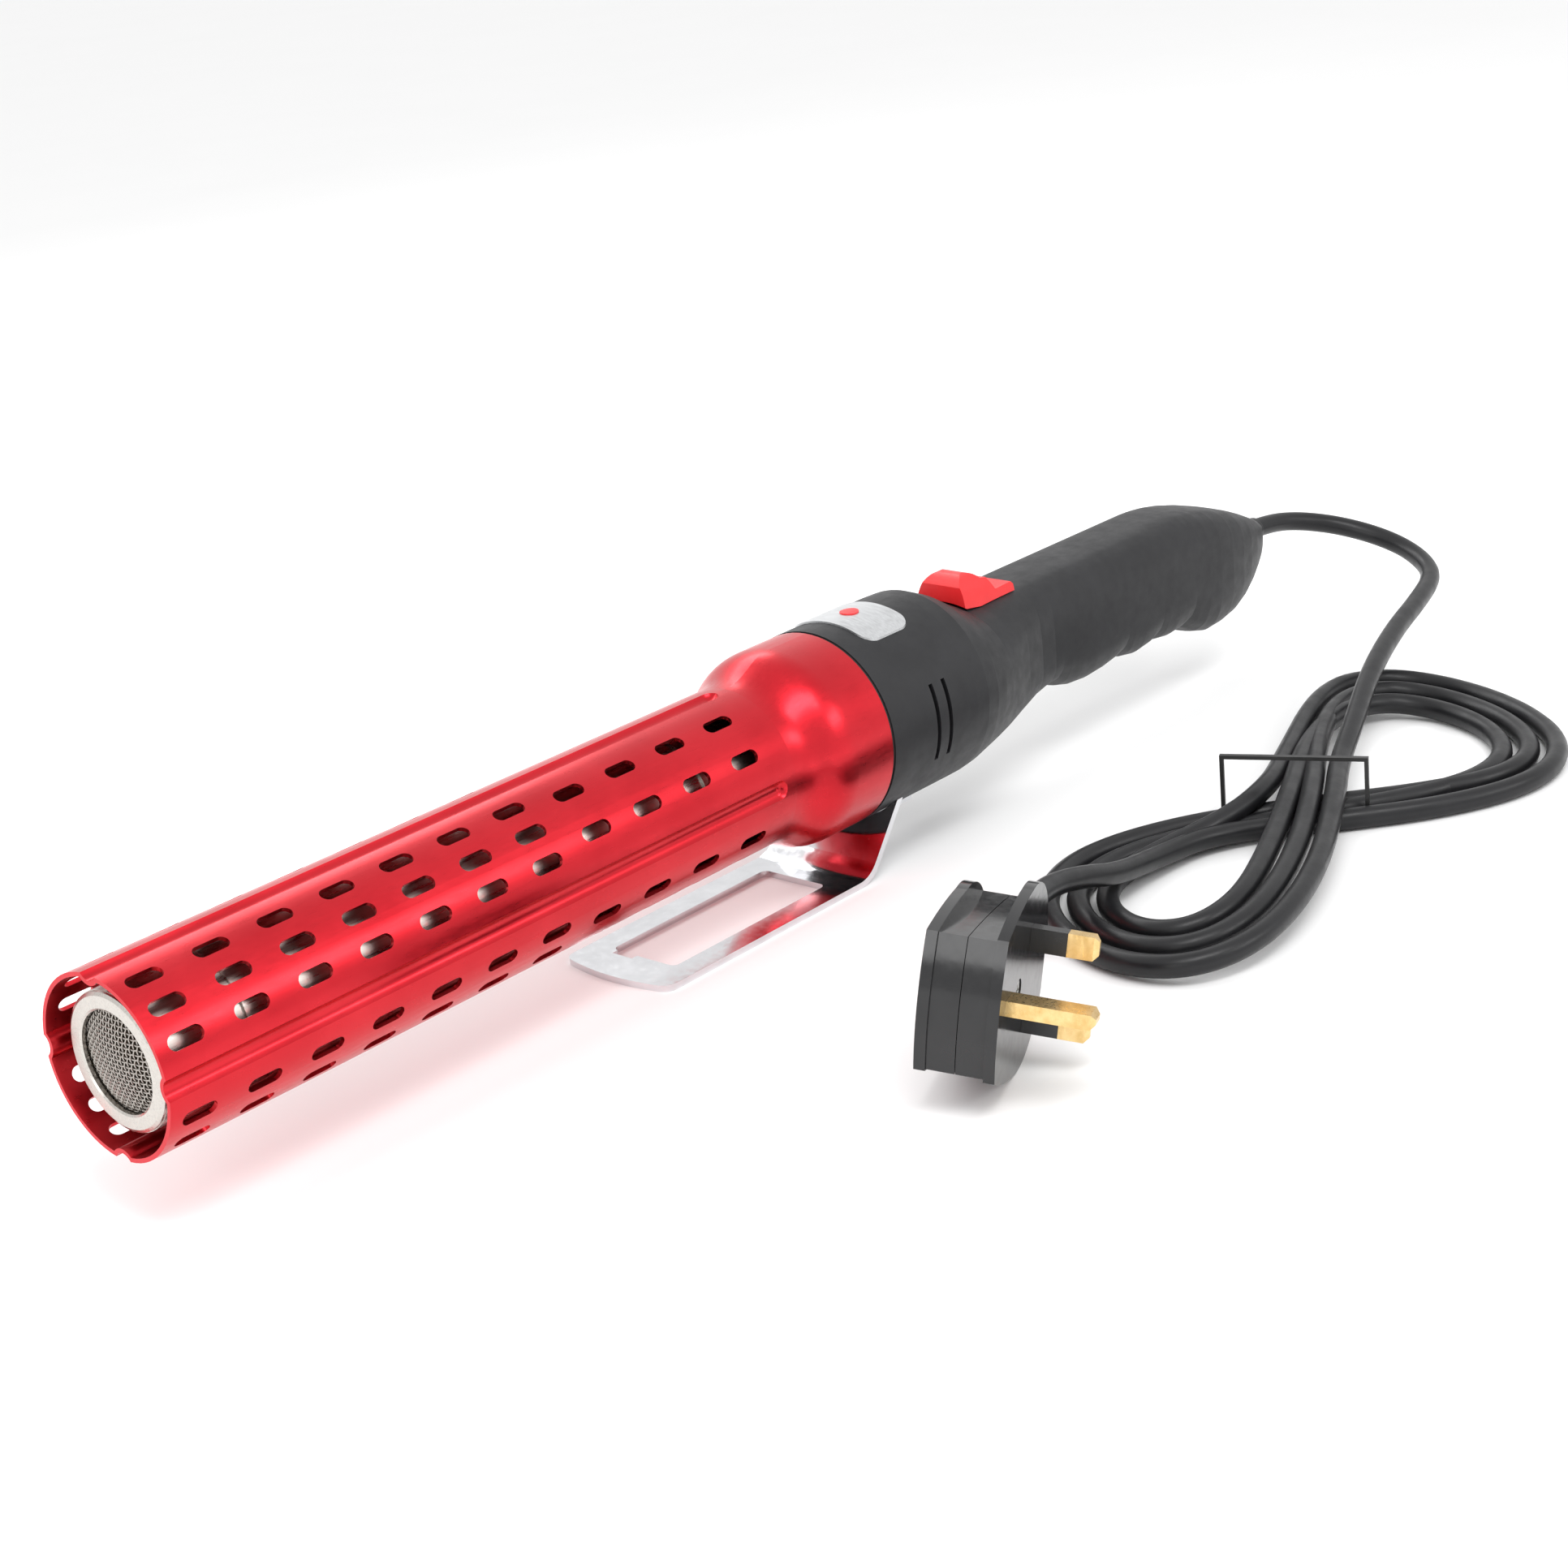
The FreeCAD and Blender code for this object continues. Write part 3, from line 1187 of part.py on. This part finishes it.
fuse_body = Part.makeCylinder(3.1, 25.4, Vector(9, FUSE_SIDE, FUSE_DEPTH), AXIS_X)
shaped("plug_fuse", fuse_body, PLUG)
clips = [
    box_between((start, FUSE_SIDE - 3.6, FUSE_DEPTH - 3.2), (start + 4, FUSE_SIDE + 3.6, FUSE_DEPTH + 2.8)).cut(
        Part.makeCylinder(3.15, 10, Vector(start - 2, FUSE_SIDE, FUSE_DEPTH), AXIS_X)
    )
    for start in (10, 29)
]
shaped("plug_fuse_clips", Part.makeCompound([one_solid(clip) for clip in clips]), PLUG)
plug_grip = box_between((LENGTH - 10, -8, SPLIT - 6.2), (LENGTH - 6, 8, SPLIT - 3.6))
shaped("plug_cord_grip", plug_grip, PLUG)

# ---------------------------------------------------------------- checks and export
doc.recompute()
for item in doc.Objects:
    bad = [word for word in item.State if word in ("Invalid", "Error")]
    if bad:
        raise RuntimeError(f"{item.Label}: {item.State}")
for piece in PIECES:
    if piece.Shape.isNull() or not piece.Shape.isValid():
        raise RuntimeError(f"{piece.Label}: shape is null or not valid")
    box = piece.Shape.BoundBox
    print(f"{piece.Label:22s} {len(piece.Shape.Solids)} solid  {piece.Shape.Volume:10.1f} mm3  "
          f"x {box.XMin:7.1f} {box.XMax:7.1f}  y {box.YMin:7.1f} {box.YMax:7.1f}  z {box.ZMin:7.1f} {box.ZMax:7.1f}")
    piece.Shape.exportStep(f"parts/{piece.Label}.step")
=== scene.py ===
"""Hot air charcoal lighter: looks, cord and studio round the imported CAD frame."""
import json
import math

import bpy
from mathutils import Matrix, Vector


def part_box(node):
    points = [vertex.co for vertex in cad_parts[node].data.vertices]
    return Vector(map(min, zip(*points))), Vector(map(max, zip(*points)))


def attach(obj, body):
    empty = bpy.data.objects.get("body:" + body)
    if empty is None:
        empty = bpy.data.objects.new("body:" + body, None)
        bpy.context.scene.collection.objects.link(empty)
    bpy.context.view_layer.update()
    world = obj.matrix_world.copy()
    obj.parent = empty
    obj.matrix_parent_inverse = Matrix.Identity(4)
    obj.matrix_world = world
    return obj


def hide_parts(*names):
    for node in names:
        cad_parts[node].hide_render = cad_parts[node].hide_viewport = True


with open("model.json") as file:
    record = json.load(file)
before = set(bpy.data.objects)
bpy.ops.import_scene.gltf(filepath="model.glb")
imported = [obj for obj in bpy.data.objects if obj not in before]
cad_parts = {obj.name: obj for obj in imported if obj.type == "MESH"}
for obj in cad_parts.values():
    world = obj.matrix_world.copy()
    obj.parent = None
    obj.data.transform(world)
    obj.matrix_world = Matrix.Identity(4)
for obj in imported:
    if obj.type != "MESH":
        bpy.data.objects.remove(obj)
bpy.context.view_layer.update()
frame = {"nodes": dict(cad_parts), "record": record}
NODES = frame["nodes"]
MM = 0.001
SCENE = bpy.context.scene
AXIS_HEIGHT = 0.045
BODY = "body"

# ---------------------------------------------------------------- camera
LENS_IN_WIDTHS = 3500 / 1932
SENSOR = 36.0


def make_camera():
    """Camera of the studio shot: above the muzzle's near side, looking along the barrel."""
    data = bpy.data.cameras.new("studio_camera")
    data.sensor_width = SENSOR
    data.lens = SENSOR * LENS_IN_WIDTHS
    data.clip_start = 0.01
    data.clip_end = 50
    camera = bpy.data.objects.new("studio_camera", data)
    right = Vector((0.65894, -0.74605, -0.09595))
    up = Vector((0.32339, 0.16582, 0.93162))
    forward = Vector((0.67912, 0.64492, -0.35053))
    turn = Matrix((right, up, -forward)).transposed().to_4x4()
    camera.matrix_world = Matrix.Translation((-0.58443, -0.55332, 0.33382)) @ turn
    SCENE.collection.objects.link(camera)
    SCENE.camera = camera


make_camera()


# ---------------------------------------------------------------- materials
class Surface:
    """A node material under construction, with short helpers for its nodes."""

    def __init__(self, name, color, rough, metal=0.0):
        self.material = bpy.data.materials.new(name)
        self.material.use_nodes = True
        self.tree = self.material.node_tree
        self.shader = self.tree.nodes["Principled BSDF"]
        self.set("Base Color", (*color, 1))
        self.set("Roughness", rough)
        self.set("Metallic", metal)
        self.material.diffuse_color = (*color, 1)
        self.place = self.node("ShaderNodeTexCoord").outputs["Object"]

    def node(self, kind, **settings):
        made = self.tree.nodes.new(kind)
        for key, value in settings.items():
            setattr(made, key, value)
        return made

    def link(self, output, target):
        self.tree.links.new(output, target)

    def set(self, socket, value):
        self.shader.inputs[socket].default_value = value

    def stretched(self, scale):
        """Object coordinates scaled along each axis."""
        mapping = self.node("ShaderNodeMapping")
        mapping.inputs["Scale"].default_value = scale
        self.link(self.place, mapping.inputs["Vector"])
        return mapping.outputs["Vector"]

    def noise(self, scale, detail=4.0, rough=0.55, stretch=(1, 1, 1)):
        made = self.node("ShaderNodeTexNoise")
        made.inputs["Scale"].default_value = scale
        made.inputs["Detail"].default_value = detail
        made.inputs["Roughness"].default_value = rough
        self.link(self.stretched(stretch), made.inputs["Vector"])
        return made.outputs["Fac"]

    def span(self, source, low, high, start=0.3, end=0.7):
        """Maps a factor to a range."""
        made = self.node("ShaderNodeMapRange")
        for key, value in zip(("From Min", "From Max", "To Min", "To Max"), (start, end, low, high)):
            made.inputs[key].default_value = value
        self.link(source, made.inputs["Value"])
        return made.outputs["Result"]

    def tint(self, source, dark, light, start=0.3, end=0.7):
        """Colours the surface between two tones."""
        ramp = self.node("ShaderNodeValToRGB")
        ramp.color_ramp.elements[0].position = start
        ramp.color_ramp.elements[0].color = (*dark, 1)
        ramp.color_ramp.elements[1].position = end
        ramp.color_ramp.elements[1].color = (*light, 1)
        self.link(source, ramp.inputs["Fac"])
        self.link(ramp.outputs["Color"], self.shader.inputs["Base Color"])

    def vary_roughness(self, source, low, high):
        self.link(self.span(source, low, high), self.shader.inputs["Roughness"])

    def bump(self, source, distance, strength=1.0):
        made = self.node("ShaderNodeBump")
        made.inputs["Distance"].default_value = distance
        made.inputs["Strength"].default_value = strength
        self.link(source, made.inputs["Height"])
        last = self.shader.inputs["Normal"]
        if last.is_linked:
            self.link(last.links[0].from_socket, made.inputs["Normal"])
        self.link(made.outputs["Normal"], last)


def anodised_red():
    surface = Surface("anodised_red", (0.55, 0.012, 0.02), 0.3, 1.0)
    surface.tint(surface.noise(38, 3), (0.56, 0.012, 0.022), (0.66, 0.02, 0.032))
    surface.vary_roughness(surface.noise(900, 6, 0.6, (0.25, 1, 1)), 0.26, 0.36)
    surface.bump(surface.noise(2600, 3, 0.5, (0.3, 1, 1)), 0.00002, 0.35)
    surface.set("Coat Weight", 0.25)
    surface.set("Coat Roughness", 0.2)
    return surface.material


def moulded_black():
    surface = Surface("moulded_black", (0.013, 0.013, 0.0145), 0.44)
    surface.tint(surface.noise(60, 4), (0.0105, 0.0105, 0.012), (0.016, 0.016, 0.018))
    surface.set("Specular IOR Level", 0.38)
    surface.vary_roughness(surface.noise(220, 5), 0.42, 0.54)
    surface.bump(surface.noise(3800, 3, 0.6), 0.00004, 0.5)
    return surface.material


def moulded_red():
    surface = Surface("moulded_red", (0.78, 0.018, 0.02), 0.32)
    surface.tint(surface.noise(90, 4), (0.72, 0.014, 0.017), (0.82, 0.022, 0.025))
    surface.vary_roughness(surface.noise(260, 4), 0.28, 0.38)
    surface.bump(surface.noise(3200, 2), 0.00002, 0.4)
    surface.set("Subsurface Weight", 0.05)
    surface.set("Subsurface Radius", (0.003, 0.0005, 0.0005))
    return surface.material


def brushed(name, color, low, high, stretch=(0.05, 1, 1), scale=1500.0):
    surface = Surface(name, color, (low + high) / 2, 1.0)
    lines = surface.noise(scale, 4, 0.6, stretch)
    surface.tint(lines, tuple(c * 0.86 for c in color), tuple(min(1, c * 1.08) for c in color))
    surface.vary_roughness(lines, low, high)
    surface.bump(lines, 0.00001, 0.4)
    return surface.material


def polished_chrome():
    surface = Surface("polished_chrome", (0.72, 0.72, 0.74), 0.1, 1.0)
    surface.tint(surface.noise(120, 3), (0.68, 0.68, 0.7), (0.76, 0.76, 0.78))
    surface.vary_roughness(surface.noise(420, 5), 0.07, 0.17)
    surface.bump(surface.noise(180, 2), 0.00005, 0.25)
    return surface.material


def plain(name, color, rough, metal=0.0, grain=900.0, depth=0.00003):
    """A moulded, cast or cut material with fine grain and a little mottling."""
    surface = Surface(name, color, rough, metal)
    darker = tuple(c * 0.85 for c in color)
    lighter = tuple(min(1, c * 1.12) for c in color)
    surface.tint(surface.noise(grain / 6, 4), darker, lighter)
    surface.vary_roughness(surface.noise(grain / 3, 4), rough * 0.88, min(1, rough * 1.15))
    surface.bump(surface.noise(grain, 3), depth, 0.5)
    return surface.material


def cord_rubber():
    surface = Surface("cord_rubber", (0.009, 0.009, 0.01), 0.36)
    surface.tint(surface.noise(70, 4), (0.007, 0.007, 0.008), (0.012, 0.012, 0.0135))
    surface.set("Specular IOR Level", 0.35)
    surface.vary_roughness(surface.noise(160, 5), 0.3, 0.44)
    surface.bump(surface.noise(1400, 4), 0.00003, 0.5)
    surface.bump(surface.noise(95, 2), 0.0002, 0.35)
    return surface.material


def glossy_black():
    surface = Surface("glossy_black", (0.011, 0.011, 0.012), 0.14)
    surface.tint(surface.noise(80, 3), (0.009, 0.009, 0.01), (0.015, 0.015, 0.016))
    surface.vary_roughness(surface.noise(330, 5), 0.1, 0.2)
    surface.bump(surface.noise(150, 3), 0.00006, 0.3)
    return surface.material


def pin_brass():
    surface = Surface("pin_brass", (0.78, 0.55, 0.24), 0.3, 1.0)
    surface.tint(surface.noise(350, 5), (0.66, 0.44, 0.17), (0.85, 0.62, 0.3))
    surface.vary_roughness(surface.noise(1200, 5, 0.6, (1, 1, 0.2)), 0.22, 0.42)
    surface.bump(surface.noise(1500, 4, 0.6, (1, 0.3, 1)), 0.00002, 0.4)
    return surface.material


def woven_windings():
    """Enamelled copper with fine turns along the axis."""
    surface = Surface("windings", (0.6, 0.25, 0.1), 0.32, 1.0)
    wave = surface.node("ShaderNodeTexWave", wave_type="BANDS", bands_direction="X")
    wave.inputs["Scale"].default_value = 900
    surface.link(surface.place, wave.inputs["Vector"])
    surface.bump(wave.outputs["Fac"], 0.0001, 0.7)
    surface.vary_roughness(surface.noise(400), 0.28, 0.42)
    return surface.material


MATERIALS = {
    "barrel_red": anodised_red(),
    "handle_black": moulded_black(),
    "switch_red": moulded_red(),
    "stand_chrome": polished_chrome(),
    "steel": brushed("tube_steel", (0.6, 0.57, 0.53), 0.24, 0.4),
    "mesh_steel": brushed("wire_steel", (0.42, 0.39, 0.36), 0.3, 0.5, (1, 1, 1)),
    "badge_silver": brushed("badge_aluminium", (0.66, 0.67, 0.68), 0.34, 0.48, (1, 0.04, 1)),
    "seal_black": plain("seal_rubber", (0.02, 0.02, 0.02), 0.7),
    "mica": plain("mica_sheet", (0.6, 0.52, 0.36), 0.45, grain=400.0),
    "heater_wire": plain("oxidised_wire", (0.3, 0.26, 0.23), 0.5, 0.8),
    "screw_zinc": brushed("zinc_plate", (0.62, 0.62, 0.6), 0.25, 0.4, (1, 1, 1)),
    "fan_plastic": plain("fan_plastic", (0.05, 0.05, 0.055), 0.42),
    "motor_steel": brushed("motor_plate", (0.5, 0.5, 0.52), 0.3, 0.45, (1, 0.2, 0.2)),
    "copper_wound": woven_windings(),
    "magnet_dark": plain("sintered_magnet", (0.06, 0.06, 0.065), 0.6, 0.3),
    "bush_bronze": plain("sintered_bronze", (0.5, 0.33, 0.14), 0.45, 1.0),
    "mount_nylon": plain("natural_nylon", (0.7, 0.68, 0.62), 0.5),
    "board_green": plain("lacquered_board", (0.03, 0.16, 0.07), 0.35),
    "component_black": plain("component_black", (0.015, 0.015, 0.016), 0.3),
    "terminal_white": plain("terminal_nylon", (0.8, 0.8, 0.77), 0.5),
    "wire_white": plain("wire_sleeve", (0.72, 0.72, 0.68), 0.45),
    "cord_black": cord_rubber(),
    "plug_black": glossy_black(),
    "plug_brass": pin_brass(),
    "fuse_ceramic": plain("fuse_ceramic", (0.8, 0.77, 0.7), 0.35),
    "tie_black": plain("tie_plastic", (0.015, 0.015, 0.015), 0.4),
}

SLOT_OF = {part["node"]: part["material_slot"] for part in frame["record"]["subparts"]}
for node_name, node_object in NODES.items():
    node_object.data.materials.clear()
    node_object.data.materials.append(MATERIALS[SLOT_OF[node_name]])


# ---------------------------------------------------------------- mesh helpers
def new_piece(name, mesh, slot_name, body=BODY, replaced=()):
    """Links a mesh or curve as a piece that rides on a body."""
    piece = bpy.data.objects.new(name, mesh)
    SCENE.collection.objects.link(piece)
    mesh.materials.append(MATERIALS[slot_name])
    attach(piece, body)
    if replaced:
        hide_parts(*replaced)
    return piece


# ---------------------------------------------------------------- mains lead
CORD_DIAMETER = 6.8 * MM
# Routes count stations from the muzzle rim; the row frame counts from the middle of the tool.
HALF_LENGTH = 248.75
# Height of a strand's centre above what it lies on, with a hair of clearance.
LAYER = 3.45

# From the strain relief to the tie: (station behind the muzzle, y, height), in millimetres.
LEAD_ROUTE = [
    (507.5, 0, 42), (518.5, -0.5, 41.5), (530, -5, 39.5), (539.5, -13.5, 36.5), (545, -25.5, 33),
    (545.5, -38.5, 29.5), (540, -50.5, 26.5), (530, -59.5, 24.5), (508, -66.5, 23.5), (475, -75, 22.5),
    (441, -86, 19.5), (410, -98.5, 14.5), (385, -108, 10.5),
]
# From the left lobe of the bundle to the plug.
TAIL_ROUTE = [
    (330, -97, 5), (304, -94, 6), (280, -97, 10.5), (264, -97.5, 16), (247, -98.5, 20), (230, -104, 21.8),
]
# The figure of eight: where it crosses, how far it leans, and which way strands lie side by side there.
BUNDLE_CENTRE = (359.5, -112)
BUNDLE_SHEAR = 0.35
OVER_SIDE = (-0.41, 0.91)
UNDER_SIDE = (0.66, 0.75)


def bundle_point(turn, reach, rise, lean):
    """A point on the figure of eight. turn: 0 to pi is the right lobe, pi to 2 pi the left.

    reach and rise are the lobe's half sizes; lean is the offset of the strand at the crossing.
    """
    y = -rise * math.sin(2 * turn)
    x = reach * math.sin(turn) + BUNDLE_SHEAR * y
    over = max(0.0, -math.cos(turn))
    nearness = math.cos(turn) ** 4
    side = OVER_SIDE if over else UNDER_SIDE
    height = LAYER + 2 * LAYER * over ** 1.5
    return (
        BUNDLE_CENTRE[0] + x + nearness * lean * side[0],
        BUNDLE_CENTRE[1] + y + nearness * lean * side[1],
        height,
    )


STEPS_IN_LOBE = 9


def lobe_points(first, last, reach, rise, lean_first, lean_last):
    """Evenly spaced points from one crossing to the next, the first crossing left out."""
    points = []
    for step in range(1, STEPS_IN_LOBE + 1):
        part = step / STEPS_IN_LOBE
        lean = lean_first if part < 0.5 else lean_last
        points.append(bundle_point(first + (last - first) * part, reach, rise, lean))
    return points


def bundle_route():
    """The tied turns from the lead's strand at the crossing to the plug's strand."""
    pi = math.pi
    points = [bundle_point(pi, 0, 0, -9)]
    points += lobe_points(pi, 2 * pi, 116, 41, -9, 7)
    points += lobe_points(0, pi, 108, 40, 7, -2)
    points += lobe_points(pi, 2 * pi, 106, 33, -2, 0)
    points += lobe_points(0, pi, 98, 32, 0, 5)
    points += lobe_points(pi, 2 * pi, 96, 25, 5, 0)[:-2]
    points.append((338, -98, 2.2 * LAYER))
    points.append((360, -98, 3 * LAYER))
    points.append((384, -88, 2.4 * LAYER))
    points += lobe_points(pi, 0, 118, 47, 12, -7)[1:]
    return points


def exit_of_plug(reach):
    """A point on the plug's cord axis, reach behind its cord end, in route coordinates."""
    point = PLUG_MATRIX @ Vector((PLUG_LENGTH + reach, 0, -PLUG_DEPTH / 2))
    return point.x / MM + HALF_LENGTH, point.y / MM, point.z / MM


def row_points(route):
    return [((x - HALF_LENGTH) * MM, y * MM, z * MM) for x, y, z in route]


# Plug frame: x from the earth end to the cord end, y across the line and neutral pins, z out of the pin face.
PLUG_DEPTH = 21
PLUG_LENGTH = 51
PLUG_MATRIX = (
    Matrix.Translation(((158.8 - HALF_LENGTH) * MM, -149.6 * MM, (45 - 15.9) * MM))
    @ Matrix.Rotation(math.radians(25), 4, "Z")
    @ Matrix.Rotation(math.radians(8), 4, "Y")
    @ Matrix.Rotation(math.radians(8), 4, "X")
    @ Matrix(((1, 0, 0, 0), (0, 0, -1, 0), (0, 1, 0, 0), (0, 0, 0, 1)))
    @ Matrix.Scale(MM, 4)
)


def make_cord():
    """The whole lead as one smooth tube, from the strain relief through the tied bundle to the plug."""
    route = LEAD_ROUTE + bundle_route() + TAIL_ROUTE + [exit_of_plug(14), exit_of_plug(-0.5)]
    data = bpy.data.curves.new("mains_lead", "CURVE")
    data.dimensions = "3D"
    data.resolution_u = 8
    data.bevel_depth = CORD_DIAMETER / 2
    data.bevel_resolution = 6
    spline = data.splines.new("NURBS")
    points = row_points(route)
    spline.points.add(len(points) - 1)
    for point, place in zip(spline.points, points):
        point.co = (*place, 1)
    spline.order_u = 3
    spline.use_endpoint_u = True
    piece = new_piece("mains_lead", data, "cord_black", replaced=("cord_lead", "cord_coil", "cord_tail"))
    return piece, points


lead, lead_points = make_cord()


# ---------------------------------------------------------------- nozzle screen
def dome_wires():
    """The domed screen as woven round wires, each crossing over and under the next."""
    low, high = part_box("nozzle_mesh")
    rim_radius = (high.z - low.z) / 2 - 0.5 * MM
    front = low.x + 0.8 * MM
    rise = high.x - low.x - 1.2 * MM
    ball = (rim_radius ** 2 + rise ** 2) / (2 * rise)
    pitch = 1.25 * MM
    wire = 0.24 * MM
    data = bpy.data.curves.new("nozzle_wires", "CURVE")
    data.dimensions = "3D"
    data.bevel_depth = wire
    data.bevel_resolution = 2
    data.resolution_u = 3
    count = int(rim_radius / pitch)
    for upright in (False, True):
        for index in range(-count, count + 1):
            across = index * pitch
            half = math.sqrt(max(0, rim_radius ** 2 - across ** 2))
            steps = max(2, int(2 * half / (pitch / 2)))
            spline = data.splines.new("NURBS")
            spline.points.add(steps)
            for step, point in enumerate(spline.points):
                along = -half + 2 * half * step / steps
                depth = front + ball - math.sqrt(ball ** 2 - across ** 2 - along ** 2)
                parity = 1 if (index + int(upright)) % 2 else -1
                depth += wire * 0.9 * parity * math.cos(math.pi * along / pitch)
                y, z = (across, along) if upright else (along, across)
                point.co = (depth, y, z + AXIS_HEIGHT, 1)
            spline.order_u = 3
            spline.use_endpoint_u = True
    return data


new_piece("nozzle_screen", dome_wires(), "mesh_steel", replaced=("nozzle_mesh",))


# ---------------------------------------------------------------- studio
def make_floor():
    mesh = bpy.data.meshes.new("studio_floor")
    half = 6.0
    corners = [(-half, -half, 0), (half, -half, 0), (half, half, 0), (-half, half, 0)]
    mesh.from_pydata(corners, [], [(0, 1, 2, 3)])
    floor = bpy.data.objects.new("studio_floor", mesh)
    SCENE.collection.objects.link(floor)
    paper = Surface("studio_paper", (0.94, 0.94, 0.94), 0.95)
    paper.tint(paper.noise(8, 2), (0.938, 0.938, 0.938), (0.945, 0.945, 0.945))
    paper.set("Specular IOR Level", 0.1)
    mesh.materials.append(paper.material)


def area_light(name, place, target, size, size_y, power, color=(1, 1, 1)):
    data = bpy.data.lights.new(name, "AREA")
    data.shape = "RECTANGLE"
    data.size = size
    data.size_y = size_y
    data.energy = power
    data.color = color
    light = bpy.data.objects.new(name, data)
    light.location = place
    light.rotation_euler = (Vector(target) - Vector(place)).to_track_quat("-Z", "Y").to_euler()
    SCENE.collection.objects.link(light)


def make_studio():
    make_floor()
    middle = (0, -0.02, 0.05)
    area_light("key_softbox", (-0.25, -0.55, 1.05), middle, 0.9, 0.35, 6)
    area_light("rear_strip", (0.1, 0.9, 0.8), middle, 1.4, 0.25, 5)
    area_light("muzzle_fill", (-1.2, -0.3, 0.5), middle, 0.6, 0.4, 2.5)
    area_light("plug_fill", (0.5, -1.1, 0.7), middle, 0.6, 0.3, 2.5)
    world = bpy.data.worlds.new("studio_world")
    world.use_nodes = True
    world.node_tree.nodes["Background"].inputs["Color"].default_value = (1, 1, 1, 1)
    world.node_tree.nodes["Background"].inputs["Strength"].default_value = 0.98
    SCENE.world = world


make_studio()
SCENE.view_settings.view_transform = "Standard"
